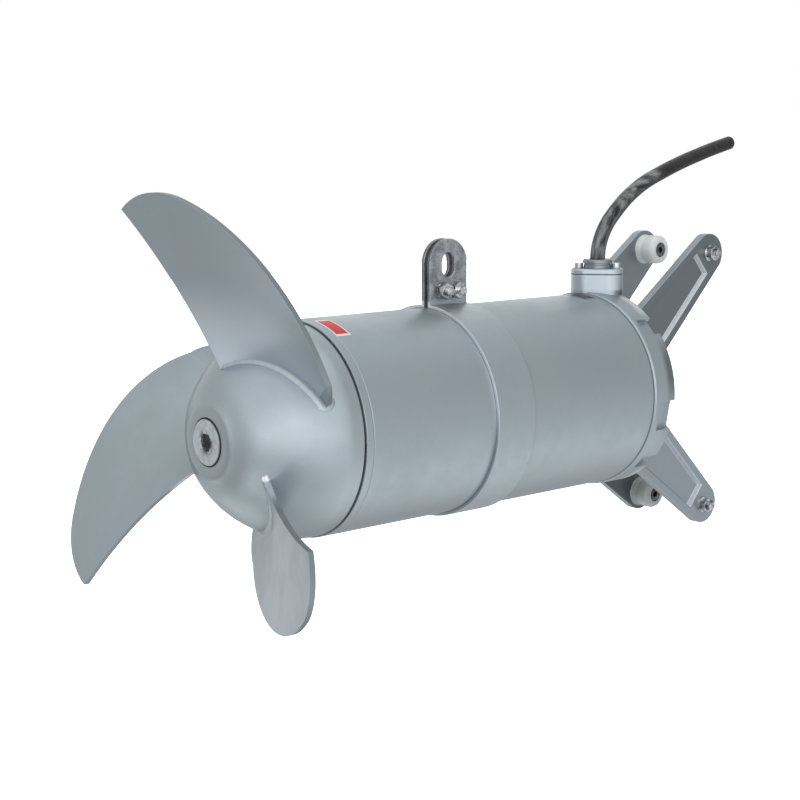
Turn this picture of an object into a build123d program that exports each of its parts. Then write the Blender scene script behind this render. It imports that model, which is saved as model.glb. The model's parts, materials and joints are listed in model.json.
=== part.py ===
from build123d import *
import os
from math import cos, pi, radians, sin, tan

# A submersible mixer: a motor in a round casing drives a three-bladed propeller directly.
# A rear bracket with four arms and two white rollers rides on a square guide rail in the tank.
# The origin is where the propeller axis crosses the middle of the guide rail.
# The propeller points to -X, +Z is up along the rail, and the near side is -Y.

# Guide rail, the play to the pads and the arms, and the play to the rollers
rail_size = 70.0
rail_play = 2.8
roller_play = 5.6

# Clearances
running_fit = 0.05
seat_fit = 0.05
free_fit = 0.3
thread_fit = 0.1
seal_gap = 0.1

# Casing
casing_radius = 92.0
casing_wall = 8.0
casing_length = 337.0
casing_step = 2.0
casing_flange = 12.0
casing_flange_height = 22.0
casing_edge = 0.7

# Front cover and oil chamber
front_flange = 7.2
front_spigot = 11.0
spigot_wall = 8.0
oil_chamber = 50.0
hub_gap = 1.6
ring_seal = 2.6
ring_seal_inset = 4.0
cover_screw_count = 6
cover_screw_radius = 2.0
cover_screw_head_radius = 3.5
cover_screw_head = 4.0
cover_screw_length = 16.0
cover_screw_socket = 3.0

# Shaft seals
seal_seat_radius = 27.0
seal_seat_wall = 8.0
seal_seat_depth = 6.0
seal_head_inset = 1.0
seal_head_length = 14.0
seal_spring_wire = 1.4
seal_spring_turns = 3

# Shaft
shaft_hub_radius = 14.0
shaft_seal_radius = 18.0
shaft_bearing_radius = 20.0
shaft_core_radius = 23.0
shaft_rear_radius = 12.5
shaft_tail = 2.0

# Bearings
front_bearing_radius = 40.0
front_bearing_width = 18.0
rear_bearing_radius = 26.0
rear_bearing_width = 15.0
bearing_wall = 9.0
bearing_lip = 2.0
bearing_boss_wall = 8.0
ball_count = 8
ball_share = 0.3
shoulder_share = 0.35
shield_screw_count = 4

# Motor
stator_bore = 50.0
air_gap = 0.6
winding_length = 26.0
winding_gap = 4.0
winding_clearance = 7.0
winding_space = 6.0
rear_winding_space = 20.0
winding_edge = 3.0
cage_ring_inner = 34.0
cage_ring_outer = 47.0
cage_ring_length = 12.0

# Hub
hub_inset = 1.4
hub_length = 89.4
hub_band = 9.3
nose_radius = 24.1
hub_power = 1.605
hub_wall = 7.0
hub_web = 30.0
hub_boss_radius = 25.0
hub_seam_turn = -30.0
curve_steps = 8
skin_steps = 10

# Nose plug, and the bolt and key that hold the hub
plug_radius = 19.4
plug_seam = 0.5
plug_depth = 8.0
plug_proud = 1.2
plug_edge = 0.8
plug_socket = 14.0
plug_socket_depth = 5.0
bolt_chamber_radius = 16.5
hub_bolt_radius = 6.0
hub_bolt_across = 19.0
hub_bolt_head = 7.5
hub_bolt_length = 34.0
hub_washer_radius = 15.5
hub_washer_thickness = 3.0
hub_clamp_gap = 1.0
key_width = 8.0
key_height = 7.0
key_sink = 4.0
key_length = 28.0

# Blades: a screw surface that also leans forward towards the tip
blade_count = 3
propeller_radius = 200.0
blade_pitch = 257.6
blade_rake = 0.374
blade_thickness = 4.6
blade_station = 66.8
blade_skin_angles = (60.0, 170.0)

# Blade stations and outline: shares of the propeller's radius, and angles seen along the axis
blade_station_share = 0.3
blade_skin_shares = (0.2, 1.1)
blade_root = [(0.12, 155.0), (0.12, 84.0)]
blade_front_edge = [(0.3, 85.0), (0.635, 80.0), (0.9645, 74.1)]
blade_tip = [(0.9645, 74.1), (1.0, 86.0), (0.971, 94.0)]
blade_back_edge = [(0.971, 94.0), (0.875, 109.2), (0.7785, 122.8), (0.6745, 136.5), (0.5565, 152.3)]

# Rear bracket
ring_step = 2.0
ring_wall = 14.0
ring_length = 27.0
ring_edge = 1.2
end_wall = 10.0
bracket_spigot = 8.0
bracket_screw_inset = 9.0
bracket_screw_angle = 30.0
bracket_screw_radius = 3.0
bracket_screw_head_radius = 5.0
bracket_screw_head = 6.0
bracket_screw_length = 36.0
bracket_screw_socket = 5.0
pillar_radius = 7.0
pocket_lip = 7.0
pocket_depth = 6.0
pockets = [(136.5, 18.0), (190.75, 28.0), (224.0, 16.0)]
pad_height = 11.2
pad_width = 9.0
pad_inset = 12.0
pad_reach = 62.0
arm_thickness = 8.4
arm_tip_radius = 19.8
arm_tip_drop = 1.0
arm_root_inset = 26.0
arm_root_low = 7.8
arm_corner = 12.0
arm_root_depth = 6.0
arm_rim = 7.5
arm_recess = 4.5
arm_recess_slope = 25.0
recess_gap = 14.5
recess_angle = 40.0
arm_boss_height = 7.5
arm_boss_foot = 15.0
arm_boss_top = 12.5
roller_height = 127.5

# Guide rollers
roller_radius = 14.5
roller_length = 13.7
roller_edge = 5.0
roller_head_sink = 0.5
roller_head_way = 1.0
roller_bolt_radius = 4.0
roller_bolt_head_radius = 6.5
roller_bolt_head = 8.0
roller_bolt_end = 4.4
roller_bolt_socket = 6.0
roller_side_gap = 0.3
roller_chamfer = 1.0
nut_across = 13.0
nut_height = 6.5
washer_radius = 8.0
washer_thickness = 1.6

# Lifting strap
strap_setback = 157.0
strap_width = 44.0
strap_thickness = 2.8
strap_seat = 0.2
ear_gap = 5.2
ear_rise = 60.7
ear_bend = 4.0
sling_slot_width = 15.0
sling_slot_height = 22.0
sling_slot_drop = 23.0
strap_bolt_rise = 15.0
strap_bolt_spacing = 15.0
strap_bolt_radius = 4.0
strap_bolt_across = 13.0
strap_bolt_head = 5.3
strap_washer_radius = 7.0
strap_bolt_end = 4.5

# Cable gland
gland_setback = 19.0
gland_turn = -50.0
gland_length = 50.0
gland_width = 34.0
gland_corner = 14.0
gland_box_rise = 16.3
gland_bore = 12.5
gland_well = 13.0
wire_way = 6.0
gasket_thickness = 0.8
gland_cover_thickness = 4.7
gland_screw_spacing = 35.6
gland_screw_radius = 2.5
gland_screw_head_radius = 4.25
gland_screw_head = 5.0
gland_screw_length = 16.0
gland_screw_socket = 4.0
gland_base_radius = 13.2
gland_base_height = 3.4
gland_neck_radius = 12.6
gland_neck_height = 1.8
gland_collar_radius = 14.2
gland_collar_height = 3.6
gland_edge = 1.2
grommet_height = 12.0
grommet_bore = 5.0

# Terminal block
block_width = 30.0
block_depth = 12.0
block_height = 12.0
block_slots = 3
block_slot_width = 5.0

# Power cable: the middle line above the gland, up to the cut end
cable_radius = 7.2
cable_way = 0.4
cable_rise = 15.3
cable_points = [
    (-52.4, 0.0, 145.8),
    (-43.1, 0.3, 159.5),
    (-28.8, 3.0, 171.4),
    (-10.1, 10.6, 179.6),
    (12.8, 21.0, 186.6),
    (41.3, 29.3, 196.7),
    (75.5, 38.3, 205.1),
    (117.5, 47.9, 214.8),
    (161.6, 56.9, 223.9),
    (200.9, 64.0, 231.6),
    (231.6, 69.5, 237.0),
]
arc_share = 0.45

# Places along the axis, from the guide rail forwards to the nose
x_pad = -(rail_size / 2 + rail_play)
x_wall_rear = x_pad - pad_height
x_wall_front = x_wall_rear - end_wall
x_ring = x_wall_rear - ring_length
x_casing = x_ring - casing_length
x_seam = x_casing - front_flange
x_hub_rear = x_seam - hub_gap
x_hub_band = x_hub_rear - hub_band
x_nose = x_hub_rear - hub_length
x_chamber = x_casing + front_spigot
x_bearing_wall = x_chamber + oil_chamber
x_front_bearing = x_bearing_wall + bearing_wall
x_bearing_end = x_front_bearing + front_bearing_width
x_winding = x_bearing_end + winding_space
x_stator = x_winding + winding_length
x_flange = x_ring - casing_flange
x_shield = x_flange - bearing_wall
x_stator_end = x_shield - rear_winding_space - winding_length
x_rear_bearing = x_shield + bearing_lip
x_shaft_end = x_rear_bearing + rear_bearing_width + shaft_tail
x_plug_floor = x_nose + plug_depth
x_washer = x_plug_floor + hub_bolt_head
x_hub_seat = x_washer + hub_washer_thickness
x_shaft = x_hub_seat + hub_clamp_gap
x_roller = rail_size / 2 + roller_play + roller_radius
x_strap = x_casing + strap_setback
x_gland = x_ring + gland_setback

# Places across and up
casing_bore = casing_radius - casing_wall
stator_seat = casing_bore - casing_step
casing_flange_bore = stator_seat - casing_flange_height
shield_screw_circle = (casing_flange_bore + stator_seat) / 2
hub_radius = casing_radius - hub_inset
ring_radius = casing_radius + ring_step
ring_bore = ring_radius - ring_wall
bracket_screw_circle = ring_bore - bracket_screw_inset
y_arm = rail_size / 2 + rail_play
y_arm_face = y_arm + arm_thickness
y_arm_boss = y_arm - arm_boss_height
gland_box_top = ring_radius + gland_box_rise
z_cover = gland_box_top + gasket_thickness
z_cover_top = z_cover + gland_cover_thickness
far_out = 2 * propeller_radius

os.makedirs("parts", exist_ok=True)


def save(piece, name):
    piece.part.label = name
    export_step(piece.part, f"parts/{name}.step")


def turned(profile):
    """Turns a closed outline of (x, radius) corners round the propeller axis."""
    with BuildPart() as piece:
        with BuildSketch(Plane.XZ):
            with BuildLine():
                Polyline(*profile, close=True)
            make_face()
        revolve(axis=Axis.X)
    return piece


def ring(x_start, length, inner, outer):
    """A plain ring round the propeller axis, from x_start rearwards."""
    x_end = x_start + length
    return turned([(x_start, inner), (x_end, inner), (x_end, outer), (x_start, outer)])


def forwards(x_seat):
    """A plane across the propeller axis that faces the nose."""
    return Plane(origin=(x_seat, 0, 0), x_dir=(0, 1, 0), z_dir=(-1, 0, 0))


def cap_screw(radius, length, head_radius, head, socket):
    """A socket screw seated at the origin, with its head upwards and its shank downwards."""
    with BuildPart() as screw:
        Cylinder(head_radius, head, align=(Align.CENTER, Align.CENTER, Align.MIN))
        Cylinder(radius, length, align=(Align.CENTER, Align.CENTER, Align.MAX))
        with BuildSketch(Plane.XY.offset(head)):
            RegularPolygon(socket / 2, 6, major_radius=False)
        extrude(amount=-head / 2, mode=Mode.SUBTRACT)
    return screw.part


def hex_bolt(radius, length, across, head):
    """A hexagon bolt seated at the origin, with its head upwards and its shank downwards."""
    with BuildPart() as bolt:
        with BuildSketch():
            RegularPolygon(across / 2, 6, major_radius=False, rotation=30)
        extrude(amount=head)
        Cylinder(radius, length, align=(Align.CENTER, Align.CENTER, Align.MAX))
    return bolt.part


def hex_nut(radius, across, height):
    """A hexagon nut that hangs below the origin on a bolt."""
    with BuildPart() as nut:
        with BuildSketch():
            RegularPolygon(across / 2, 6, major_radius=False, rotation=30)
            Circle(radius + thread_fit, mode=Mode.SUBTRACT)
        extrude(amount=-height)
    return nut.part


def washer(radius, outer, thickness):
    """A flat washer that hangs below the origin on a bolt."""
    with BuildPart() as disc:
        with BuildSketch():
            Circle(outer)
            Circle(radius + thread_fit, mode=Mode.SUBTRACT)
        extrude(amount=-thickness)
    return disc.part


# Propeller hub: the round nose, its boss for the shaft and the space inside
def nose_curve(x_wide, length, wide, narrow):
    """Points of a rounded nose from its widest place to its flat front."""
    steps = [pi / 2 * step / curve_steps for step in range(curve_steps + 1)]
    lift = 2 / hub_power
    return [
        (x_wide - length * sin(step) ** lift, narrow + (wide - narrow) * max(cos(step), 0) ** lift)
        for step in steps
    ]


nose_length = x_hub_band - x_nose
hub_plane = Plane.XZ.rotated((hub_seam_turn, 0, 0))
with BuildPart() as hub_form:
    with BuildSketch(hub_plane):
        with BuildLine():
            outer = nose_curve(x_hub_band, nose_length, hub_radius, nose_radius)
            Spline(*outer, tangents=[(-1, 0), (0, -1)])
            Polyline(outer[-1], (x_nose, 0), (x_hub_rear, 0), (x_hub_rear, hub_radius), outer[0])
        make_face()
    revolve(axis=Axis.X)

with BuildPart() as propeller_hub:
    add(hub_form.part)
    with BuildSketch(hub_plane):
        with BuildLine():
            inner = nose_curve(x_hub_band, nose_length - hub_web, hub_radius - hub_wall, hub_boss_radius)
            Spline(*inner, tangents=[(-1, 0), (0, -1)])
            Polyline(
                inner[-1], (x_hub_rear, hub_boss_radius), (x_hub_rear, hub_radius - hub_wall), inner[0]
            )
        make_face()
    revolve(axis=Axis.X, mode=Mode.SUBTRACT)
    with BuildSketch(Plane.YZ.offset(x_nose)):
        Circle(plug_radius + plug_seam)
    extrude(amount=plug_depth, mode=Mode.SUBTRACT)
    with BuildSketch(Plane.YZ.offset(x_plug_floor)):
        Circle(bolt_chamber_radius)
    extrude(amount=x_hub_seat - x_plug_floor, mode=Mode.SUBTRACT)
    with BuildSketch(Plane.YZ.offset(x_hub_seat)):
        Circle(shaft_hub_radius + seat_fit)
    extrude(amount=x_hub_rear - x_hub_seat, mode=Mode.SUBTRACT)
    with BuildSketch(Plane.YZ.offset(x_hub_seat)):
        with Locations((0, shaft_hub_radius - key_sink)):
            Rectangle(key_width + 2 * seat_fit, key_height + seat_fit, align=(Align.CENTER, Align.MIN))
    extrude(amount=x_hub_rear - x_hub_seat, mode=Mode.SUBTRACT)
save(propeller_hub, "propeller_hub")

with BuildPart() as nose_plug:
    with BuildSketch(Plane.YZ.offset(x_nose - plug_proud)):
        Circle(plug_radius)
    extrude(amount=plug_depth + plug_proud)
    chamfer(nose_plug.edges().group_by(Axis.X)[0], plug_edge)
    with BuildSketch(Plane.YZ.offset(x_nose - plug_proud)):
        RegularPolygon(plug_socket / 2, 6, major_radius=False)
    extrude(amount=plug_socket_depth, mode=Mode.SUBTRACT)
save(nose_plug, "nose_plug")

with BuildPart(forwards(x_washer)) as propeller_bolt:
    add(hex_bolt(hub_bolt_radius, hub_bolt_length, hub_bolt_across, hub_bolt_head))
save(propeller_bolt, "propeller_bolt")

propeller_washer = ring(x_washer, hub_washer_thickness, hub_bolt_radius + thread_fit, hub_washer_radius)
save(propeller_washer, "propeller_washer")

x_key = (x_shaft + x_hub_rear) / 2 - key_length / 2
with BuildPart() as propeller_key:
    with BuildSketch(Plane.YZ.offset(x_key)):
        with Locations((0, shaft_hub_radius - key_sink)):
            Rectangle(key_width, key_height, align=(Align.CENTER, Align.MIN))
    extrude(amount=key_length)
save(propeller_key, "propeller_key")


# Propeller blades: a bent plate cut to the blade's outline and seated on the hub
def polar(radius, angle):
    return (radius * cos(radians(angle)), radius * sin(radians(angle)))


def blade_point(share, angle):
    """The blade's middle surface: a screw with its own pitch that leans forward by the rake."""
    lead = blade_pitch * (angle - 90) / 360
    lean = blade_rake * propeller_radius * (share - blade_station_share)
    y, z = polar(share * propeller_radius, angle)
    return Vector(x_hub_rear - blade_station + lead - lean, y, z)


def corners_of(outline):
    """Corners of the blade's outline, seen along the axis."""
    return [polar(share * propeller_radius, angle) for share, angle in outline]


def spread(limits):
    """Evenly spaced values between two limits, both included."""
    low, high = limits
    return [low + (high - low) * step / skin_steps for step in range(skin_steps + 1)]


blade_skin = Face.make_surface_from_array_of_points([
    [blade_point(share, angle) for share in spread(blade_skin_shares)]
    for angle in spread(blade_skin_angles)
])
root = corners_of(blade_root)
front_edge = corners_of(blade_front_edge)
tip = corners_of(blade_tip)
back_edge = corners_of(blade_back_edge)
with BuildPart() as blade:
    thicken(blade_skin, amount=blade_thickness / 2, both=True)
    with BuildSketch(Plane.YZ.offset(x_nose - propeller_radius)):
        with BuildLine():
            Polyline(*root, front_edge[0])
            ThreePointArc(*front_edge)
            ThreePointArc(*tip)
            Spline(*back_edge)
            Line(back_edge[-1], root[0])
        make_face()
    extrude(amount=far_out, mode=Mode.INTERSECT)
    add(hub_form.part, mode=Mode.SUBTRACT)

for number in range(blade_count):
    turn = 360 * number / blade_count
    with BuildPart() as turned_blade:
        add(blade.part.rotate(Axis.X, turn))
    save(turned_blade, f"propeller_blade_{number + 1}")

# Motor shaft with its steps, bolt hole and keyway
with BuildPart() as motor_shaft:
    add(turned([
        (x_shaft, 0), (x_shaft, shaft_hub_radius),
        (x_hub_rear, shaft_hub_radius), (x_hub_rear, shaft_seal_radius),
        (x_front_bearing, shaft_seal_radius), (x_front_bearing, shaft_bearing_radius),
        (x_bearing_end, shaft_bearing_radius), (x_bearing_end, shaft_core_radius),
        (x_rear_bearing, shaft_core_radius), (x_rear_bearing, shaft_rear_radius),
        (x_shaft_end, shaft_rear_radius), (x_shaft_end, 0),
    ]).part)
    with BuildSketch(Plane.YZ.offset(x_shaft)):
        Circle(hub_bolt_radius + thread_fit)
    extrude(amount=hub_bolt_length, mode=Mode.SUBTRACT)
    with BuildSketch(Plane.YZ.offset(x_key - seat_fit)):
        with Locations((0, shaft_hub_radius - key_sink - seat_fit)):
            Rectangle(key_width + 2 * seat_fit, 2 * key_sink, align=(Align.CENTER, Align.MIN))
    extrude(amount=key_length + 2 * seat_fit, mode=Mode.SUBTRACT)
save(motor_shaft, "motor_shaft")

# Rotor core with its cast cage rings
core_radius = stator_bore - air_gap
stator_length = x_stator_end - x_stator
rotor_core = ring(x_stator, stator_length, shaft_core_radius + seat_fit, core_radius)
save(rotor_core, "rotor_core")
with BuildPart() as rotor_cage_rings:
    add(ring(x_stator - cage_ring_length, cage_ring_length, cage_ring_inner, cage_ring_outer).part)
    add(ring(x_stator_end, cage_ring_length, cage_ring_inner, cage_ring_outer).part)
save(rotor_cage_rings, "rotor_cage_rings")


# Ball bearings: an inner ring on the shaft, an outer ring in its seat and balls in the grooves
def bearing(name, x_start, width, shaft_radius, seat_radius):
    pitch_radius = (shaft_radius + seat_radius) / 2
    ball_radius = ball_share * (seat_radius - shaft_radius)
    shoulder = shoulder_share * 2 * ball_radius
    x_middle = x_start + width / 2
    inner_ring = ring(x_start, width, shaft_radius + seat_fit, pitch_radius - shoulder)
    outer_ring = ring(x_start, width, pitch_radius + shoulder, seat_radius)
    with BuildPart() as groove:
        with BuildSketch(Plane.XZ):
            with Locations((x_middle, pitch_radius)):
                Circle(ball_radius + running_fit)
        revolve(axis=Axis.X)
    for race, suffix in ((inner_ring, "inner_ring"), (outer_ring, "outer_ring")):
        with BuildPart() as grooved:
            add(race.part)
            add(groove.part, mode=Mode.SUBTRACT)
        save(grooved, f"{name}_{suffix}")
    with BuildPart(Plane.YZ.offset(x_middle)) as balls:
        with PolarLocations(pitch_radius, ball_count):
            Sphere(ball_radius)
    save(balls, f"{name}_balls")


bearing("front_bearing", x_front_bearing, front_bearing_width, shaft_bearing_radius, front_bearing_radius)
bearing("rear_bearing", x_rear_bearing, rear_bearing_width, shaft_rear_radius, rear_bearing_radius)

# Motor casing: a tube with a step for the stator and a flange at its rear end
screw_circle = casing_radius - casing_wall / 2
bracket_screw_width = 2 * bracket_screw_circle * cos(radians(bracket_screw_angle))
bracket_screw_rise = 2 * bracket_screw_circle * sin(radians(bracket_screw_angle))
with BuildPart() as motor_casing:
    add(turned([
        (x_casing, casing_bore), (x_casing, casing_radius - casing_edge),
        (x_casing + casing_edge, casing_radius), (x_ring - casing_edge, casing_radius),
        (x_ring, casing_radius - casing_edge), (x_ring, casing_flange_bore),
        (x_flange, casing_flange_bore), (x_flange, stator_seat),
        (x_front_bearing, stator_seat), (x_front_bearing, casing_bore),
    ]).part)
    with BuildSketch(Plane.YZ.offset(x_casing)):
        with PolarLocations(screw_circle, cover_screw_count):
            Circle(cover_screw_radius + thread_fit)
    extrude(amount=cover_screw_length, mode=Mode.SUBTRACT)
    with BuildSketch(Plane.YZ.offset(x_flange)):
        with GridLocations(bracket_screw_width, bracket_screw_rise, 2, 2):
            Circle(bracket_screw_radius + thread_fit)
        with PolarLocations(shield_screw_circle, shield_screw_count):
            Circle(cover_screw_radius + thread_fit)
    extrude(amount=casing_flange, mode=Mode.SUBTRACT)
save(motor_casing, "motor_casing")

# Front cover: closes the oil chamber and holds the outer seal seat
x_ring_seal = x_casing + ring_seal_inset
spigot_radius = casing_bore - seat_fit
with BuildPart() as front_cover:
    add(turned([
        (x_seam, shaft_seal_radius + free_fit), (x_seam, casing_radius),
        (x_casing, casing_radius), (x_casing, spigot_radius),
        (x_chamber, spigot_radius), (x_chamber, spigot_radius - spigot_wall),
        (x_casing, spigot_radius - spigot_wall), (x_casing, seal_seat_radius + seal_seat_wall),
        (x_chamber, seal_seat_radius + seal_seat_wall), (x_chamber, seal_seat_radius + seat_fit),
        (x_casing, seal_seat_radius + seat_fit), (x_casing, shaft_seal_radius + free_fit),
    ]).part)
    add(
        ring(x_ring_seal, ring_seal + free_fit, spigot_radius - ring_seal, casing_radius).part,
        mode=Mode.SUBTRACT,
    )
    with BuildSketch(Plane.YZ.offset(x_seam)):
        with PolarLocations(screw_circle, cover_screw_count):
            Circle(cover_screw_radius + thread_fit)
    extrude(amount=front_flange, mode=Mode.SUBTRACT)
    with BuildSketch(Plane.YZ.offset(x_seam)):
        with PolarLocations(screw_circle, cover_screw_count):
            Circle(cover_screw_head_radius + thread_fit)
    extrude(amount=cover_screw_head, mode=Mode.SUBTRACT)
save(front_cover, "front_cover")

small_screw = cap_screw(
    cover_screw_radius, cover_screw_length, cover_screw_head_radius, cover_screw_head, cover_screw_socket
)
with BuildPart(forwards(x_seam + cover_screw_head)) as front_cover_screws:
    with PolarLocations(screw_circle, cover_screw_count):
        add(small_screw)
save(front_cover_screws, "front_cover_screws")

front_cover_ring_seal = ring(x_ring_seal, ring_seal, spigot_radius - ring_seal + seat_fit, spigot_radius)
save(front_cover_ring_seal, "front_cover_ring_seal")

# Bearing housing: a cup behind the front cover, with the inner seal seat and the front bearing
boss_radius = front_bearing_radius + bearing_boss_wall
bearing_housing = turned([
    (x_chamber, spigot_radius), (x_front_bearing, spigot_radius),
    (x_front_bearing, boss_radius), (x_bearing_end, boss_radius),
    (x_bearing_end, front_bearing_radius + seat_fit), (x_front_bearing, front_bearing_radius + seat_fit),
    (x_front_bearing, shaft_seal_radius + free_fit),
    (x_bearing_wall + seal_seat_depth, shaft_seal_radius + free_fit),
    (x_bearing_wall + seal_seat_depth, seal_seat_radius + seat_fit),
    (x_bearing_wall, seal_seat_radius + seat_fit),
    (x_bearing_wall, spigot_radius - spigot_wall), (x_chamber, spigot_radius - spigot_wall),
])
save(bearing_housing, "bearing_housing")

# Double shaft seal: two fixed seats, two turning heads and the spring between them
seat_bore = shaft_seal_radius + free_fit
outer_seal_seat = ring(x_casing, front_spigot, seat_bore, seal_seat_radius)
save(outer_seal_seat, "outer_seal_seat")
inner_seal_seat = ring(x_bearing_wall, seal_seat_depth, seat_bore, seal_seat_radius)
save(inner_seal_seat, "inner_seal_seat")
head_bore = shaft_seal_radius + seat_fit
seal_head_radius = seal_seat_radius - seal_head_inset
x_outer_head = x_chamber + seal_gap
x_inner_head = x_bearing_wall - seal_gap - seal_head_length
outer_seal_head = ring(x_outer_head, seal_head_length, head_bore, seal_head_radius)
save(outer_seal_head, "outer_seal_head")
inner_seal_head = ring(x_inner_head, seal_head_length, head_bore, seal_head_radius)
save(inner_seal_head, "inner_seal_head")
spring_radius = (shaft_seal_radius + seal_head_radius) / 2
x_spring = x_outer_head + seal_head_length + seal_spring_wire
spring_length = x_inner_head - seal_spring_wire - x_spring
with BuildPart() as seal_spring:
    with BuildLine() as coil:
        Helix(
            pitch=spring_length / seal_spring_turns, height=spring_length, radius=spring_radius,
            center=(x_spring, 0, 0), direction=(1, 0, 0),
        )
    with BuildSketch(Plane(origin=coil.line @ 0, z_dir=coil.line % 0)):
        Circle(seal_spring_wire)
    sweep(path=coil.line, is_frenet=True)
save(seal_spring, "seal_spring")

# Stator core and the end turns of its windings
stator_core = ring(x_stator, stator_length, stator_bore, stator_seat - seat_fit)
save(stator_core, "stator_core")
winding_inner = stator_bore + winding_gap
winding_outer = casing_bore - winding_clearance
with BuildPart() as stator_windings:
    add(ring(x_winding, winding_length, winding_inner, winding_outer).part)
    add(ring(x_stator_end, winding_length, winding_inner, winding_outer).part)
    fillet(stator_windings.edges().filter_by(GeomType.CIRCLE).group_by(Axis.X)[0], winding_edge)
    fillet(stator_windings.edges().filter_by(GeomType.CIRCLE).group_by(Axis.X)[-1], winding_edge)
save(stator_windings, "stator_windings")

# Rear bearing shield, seated on the casing's flange
rear_boss_radius = rear_bearing_radius + bearing_boss_wall
with BuildPart() as rear_bearing_shield:
    add(turned([
        (x_shield, shaft_core_radius + free_fit), (x_shield, stator_seat - seat_fit),
        (x_flange, stator_seat - seat_fit), (x_flange, rear_boss_radius),
        (x_shaft_end, rear_boss_radius), (x_shaft_end, rear_bearing_radius + seat_fit),
        (x_rear_bearing, rear_bearing_radius + seat_fit), (x_rear_bearing, shaft_core_radius + free_fit),
    ]).part)
    with BuildSketch(Plane.YZ.offset(x_shield)):
        with PolarLocations(shield_screw_circle, shield_screw_count):
            Circle(cover_screw_radius + thread_fit)
    extrude(amount=bearing_wall, mode=Mode.SUBTRACT)
save(rear_bearing_shield, "rear_bearing_shield")
with BuildPart(forwards(x_shield)) as shield_screws:
    with PolarLocations(shield_screw_circle, shield_screw_count):
        add(small_screw)
save(shield_screws, "shield_screws")

# Arm of the rear bracket: a plate with a sunk panel, a boss inside and a hole for its screw
arm_root_top = ring_radius - arm_root_inset


def arm_shape(shrink):
    """The arm's outline: a round tip and two straight edges back to the end wall."""
    with Locations((x_roller, roller_height - arm_tip_drop)):
        Circle(arm_tip_radius - shrink)
    with Locations((x_wall_rear - arm_root_depth, arm_root_top - arm_corner)):
        Circle(arm_corner - shrink)
    with Locations((x_wall_rear - arm_root_depth, arm_corner - arm_root_low)):
        Circle(arm_corner - shrink)
    make_hull()


with BuildPart() as arm:
    with BuildSketch(Plane.XZ.offset(y_arm)):
        arm_shape(0)
    extrude(amount=arm_thickness)
    with BuildSketch(Plane.XZ.offset(y_arm_face)):
        arm_shape(arm_rim)
        push_back, push_up = polar(propeller_radius - recess_gap, recess_angle)
        with Locations((x_roller + push_back, roller_height + push_up)):
            Rectangle(far_out, far_out, rotation=recess_angle, mode=Mode.SUBTRACT)
    extrude(amount=-arm_recess, taper=arm_recess_slope, mode=Mode.SUBTRACT)
    with Locations(Plane(origin=(x_roller, -y_arm, roller_height), z_dir=(0, 1, 0))):
        Cone(arm_boss_foot, arm_boss_top, arm_boss_height, align=(Align.CENTER, Align.CENTER, Align.MIN))
    with BuildSketch(Plane.XZ.offset(y_arm_face)):
        with Locations((x_roller, roller_height)):
            Circle(roller_bolt_radius + thread_fit)
    extrude(amount=-(arm_thickness + arm_boss_height), mode=Mode.SUBTRACT)


# Gland box, cast on the ring: a long rounded block with a well for the grommet
def gland_plane(height):
    return Plane(origin=(x_gland, 0, height))


z_box_foot = ring_bore + free_fit
z_well = gland_box_top - gland_well
with BuildPart() as gland_box:
    with BuildSketch(gland_plane(z_box_foot)):
        RectangleRounded(gland_length, gland_width, gland_corner, rotation=gland_turn)
    extrude(amount=gland_box_top - z_box_foot)
    add(ring(x_casing, casing_length, 0, casing_radius + free_fit).part, mode=Mode.SUBTRACT)

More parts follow.
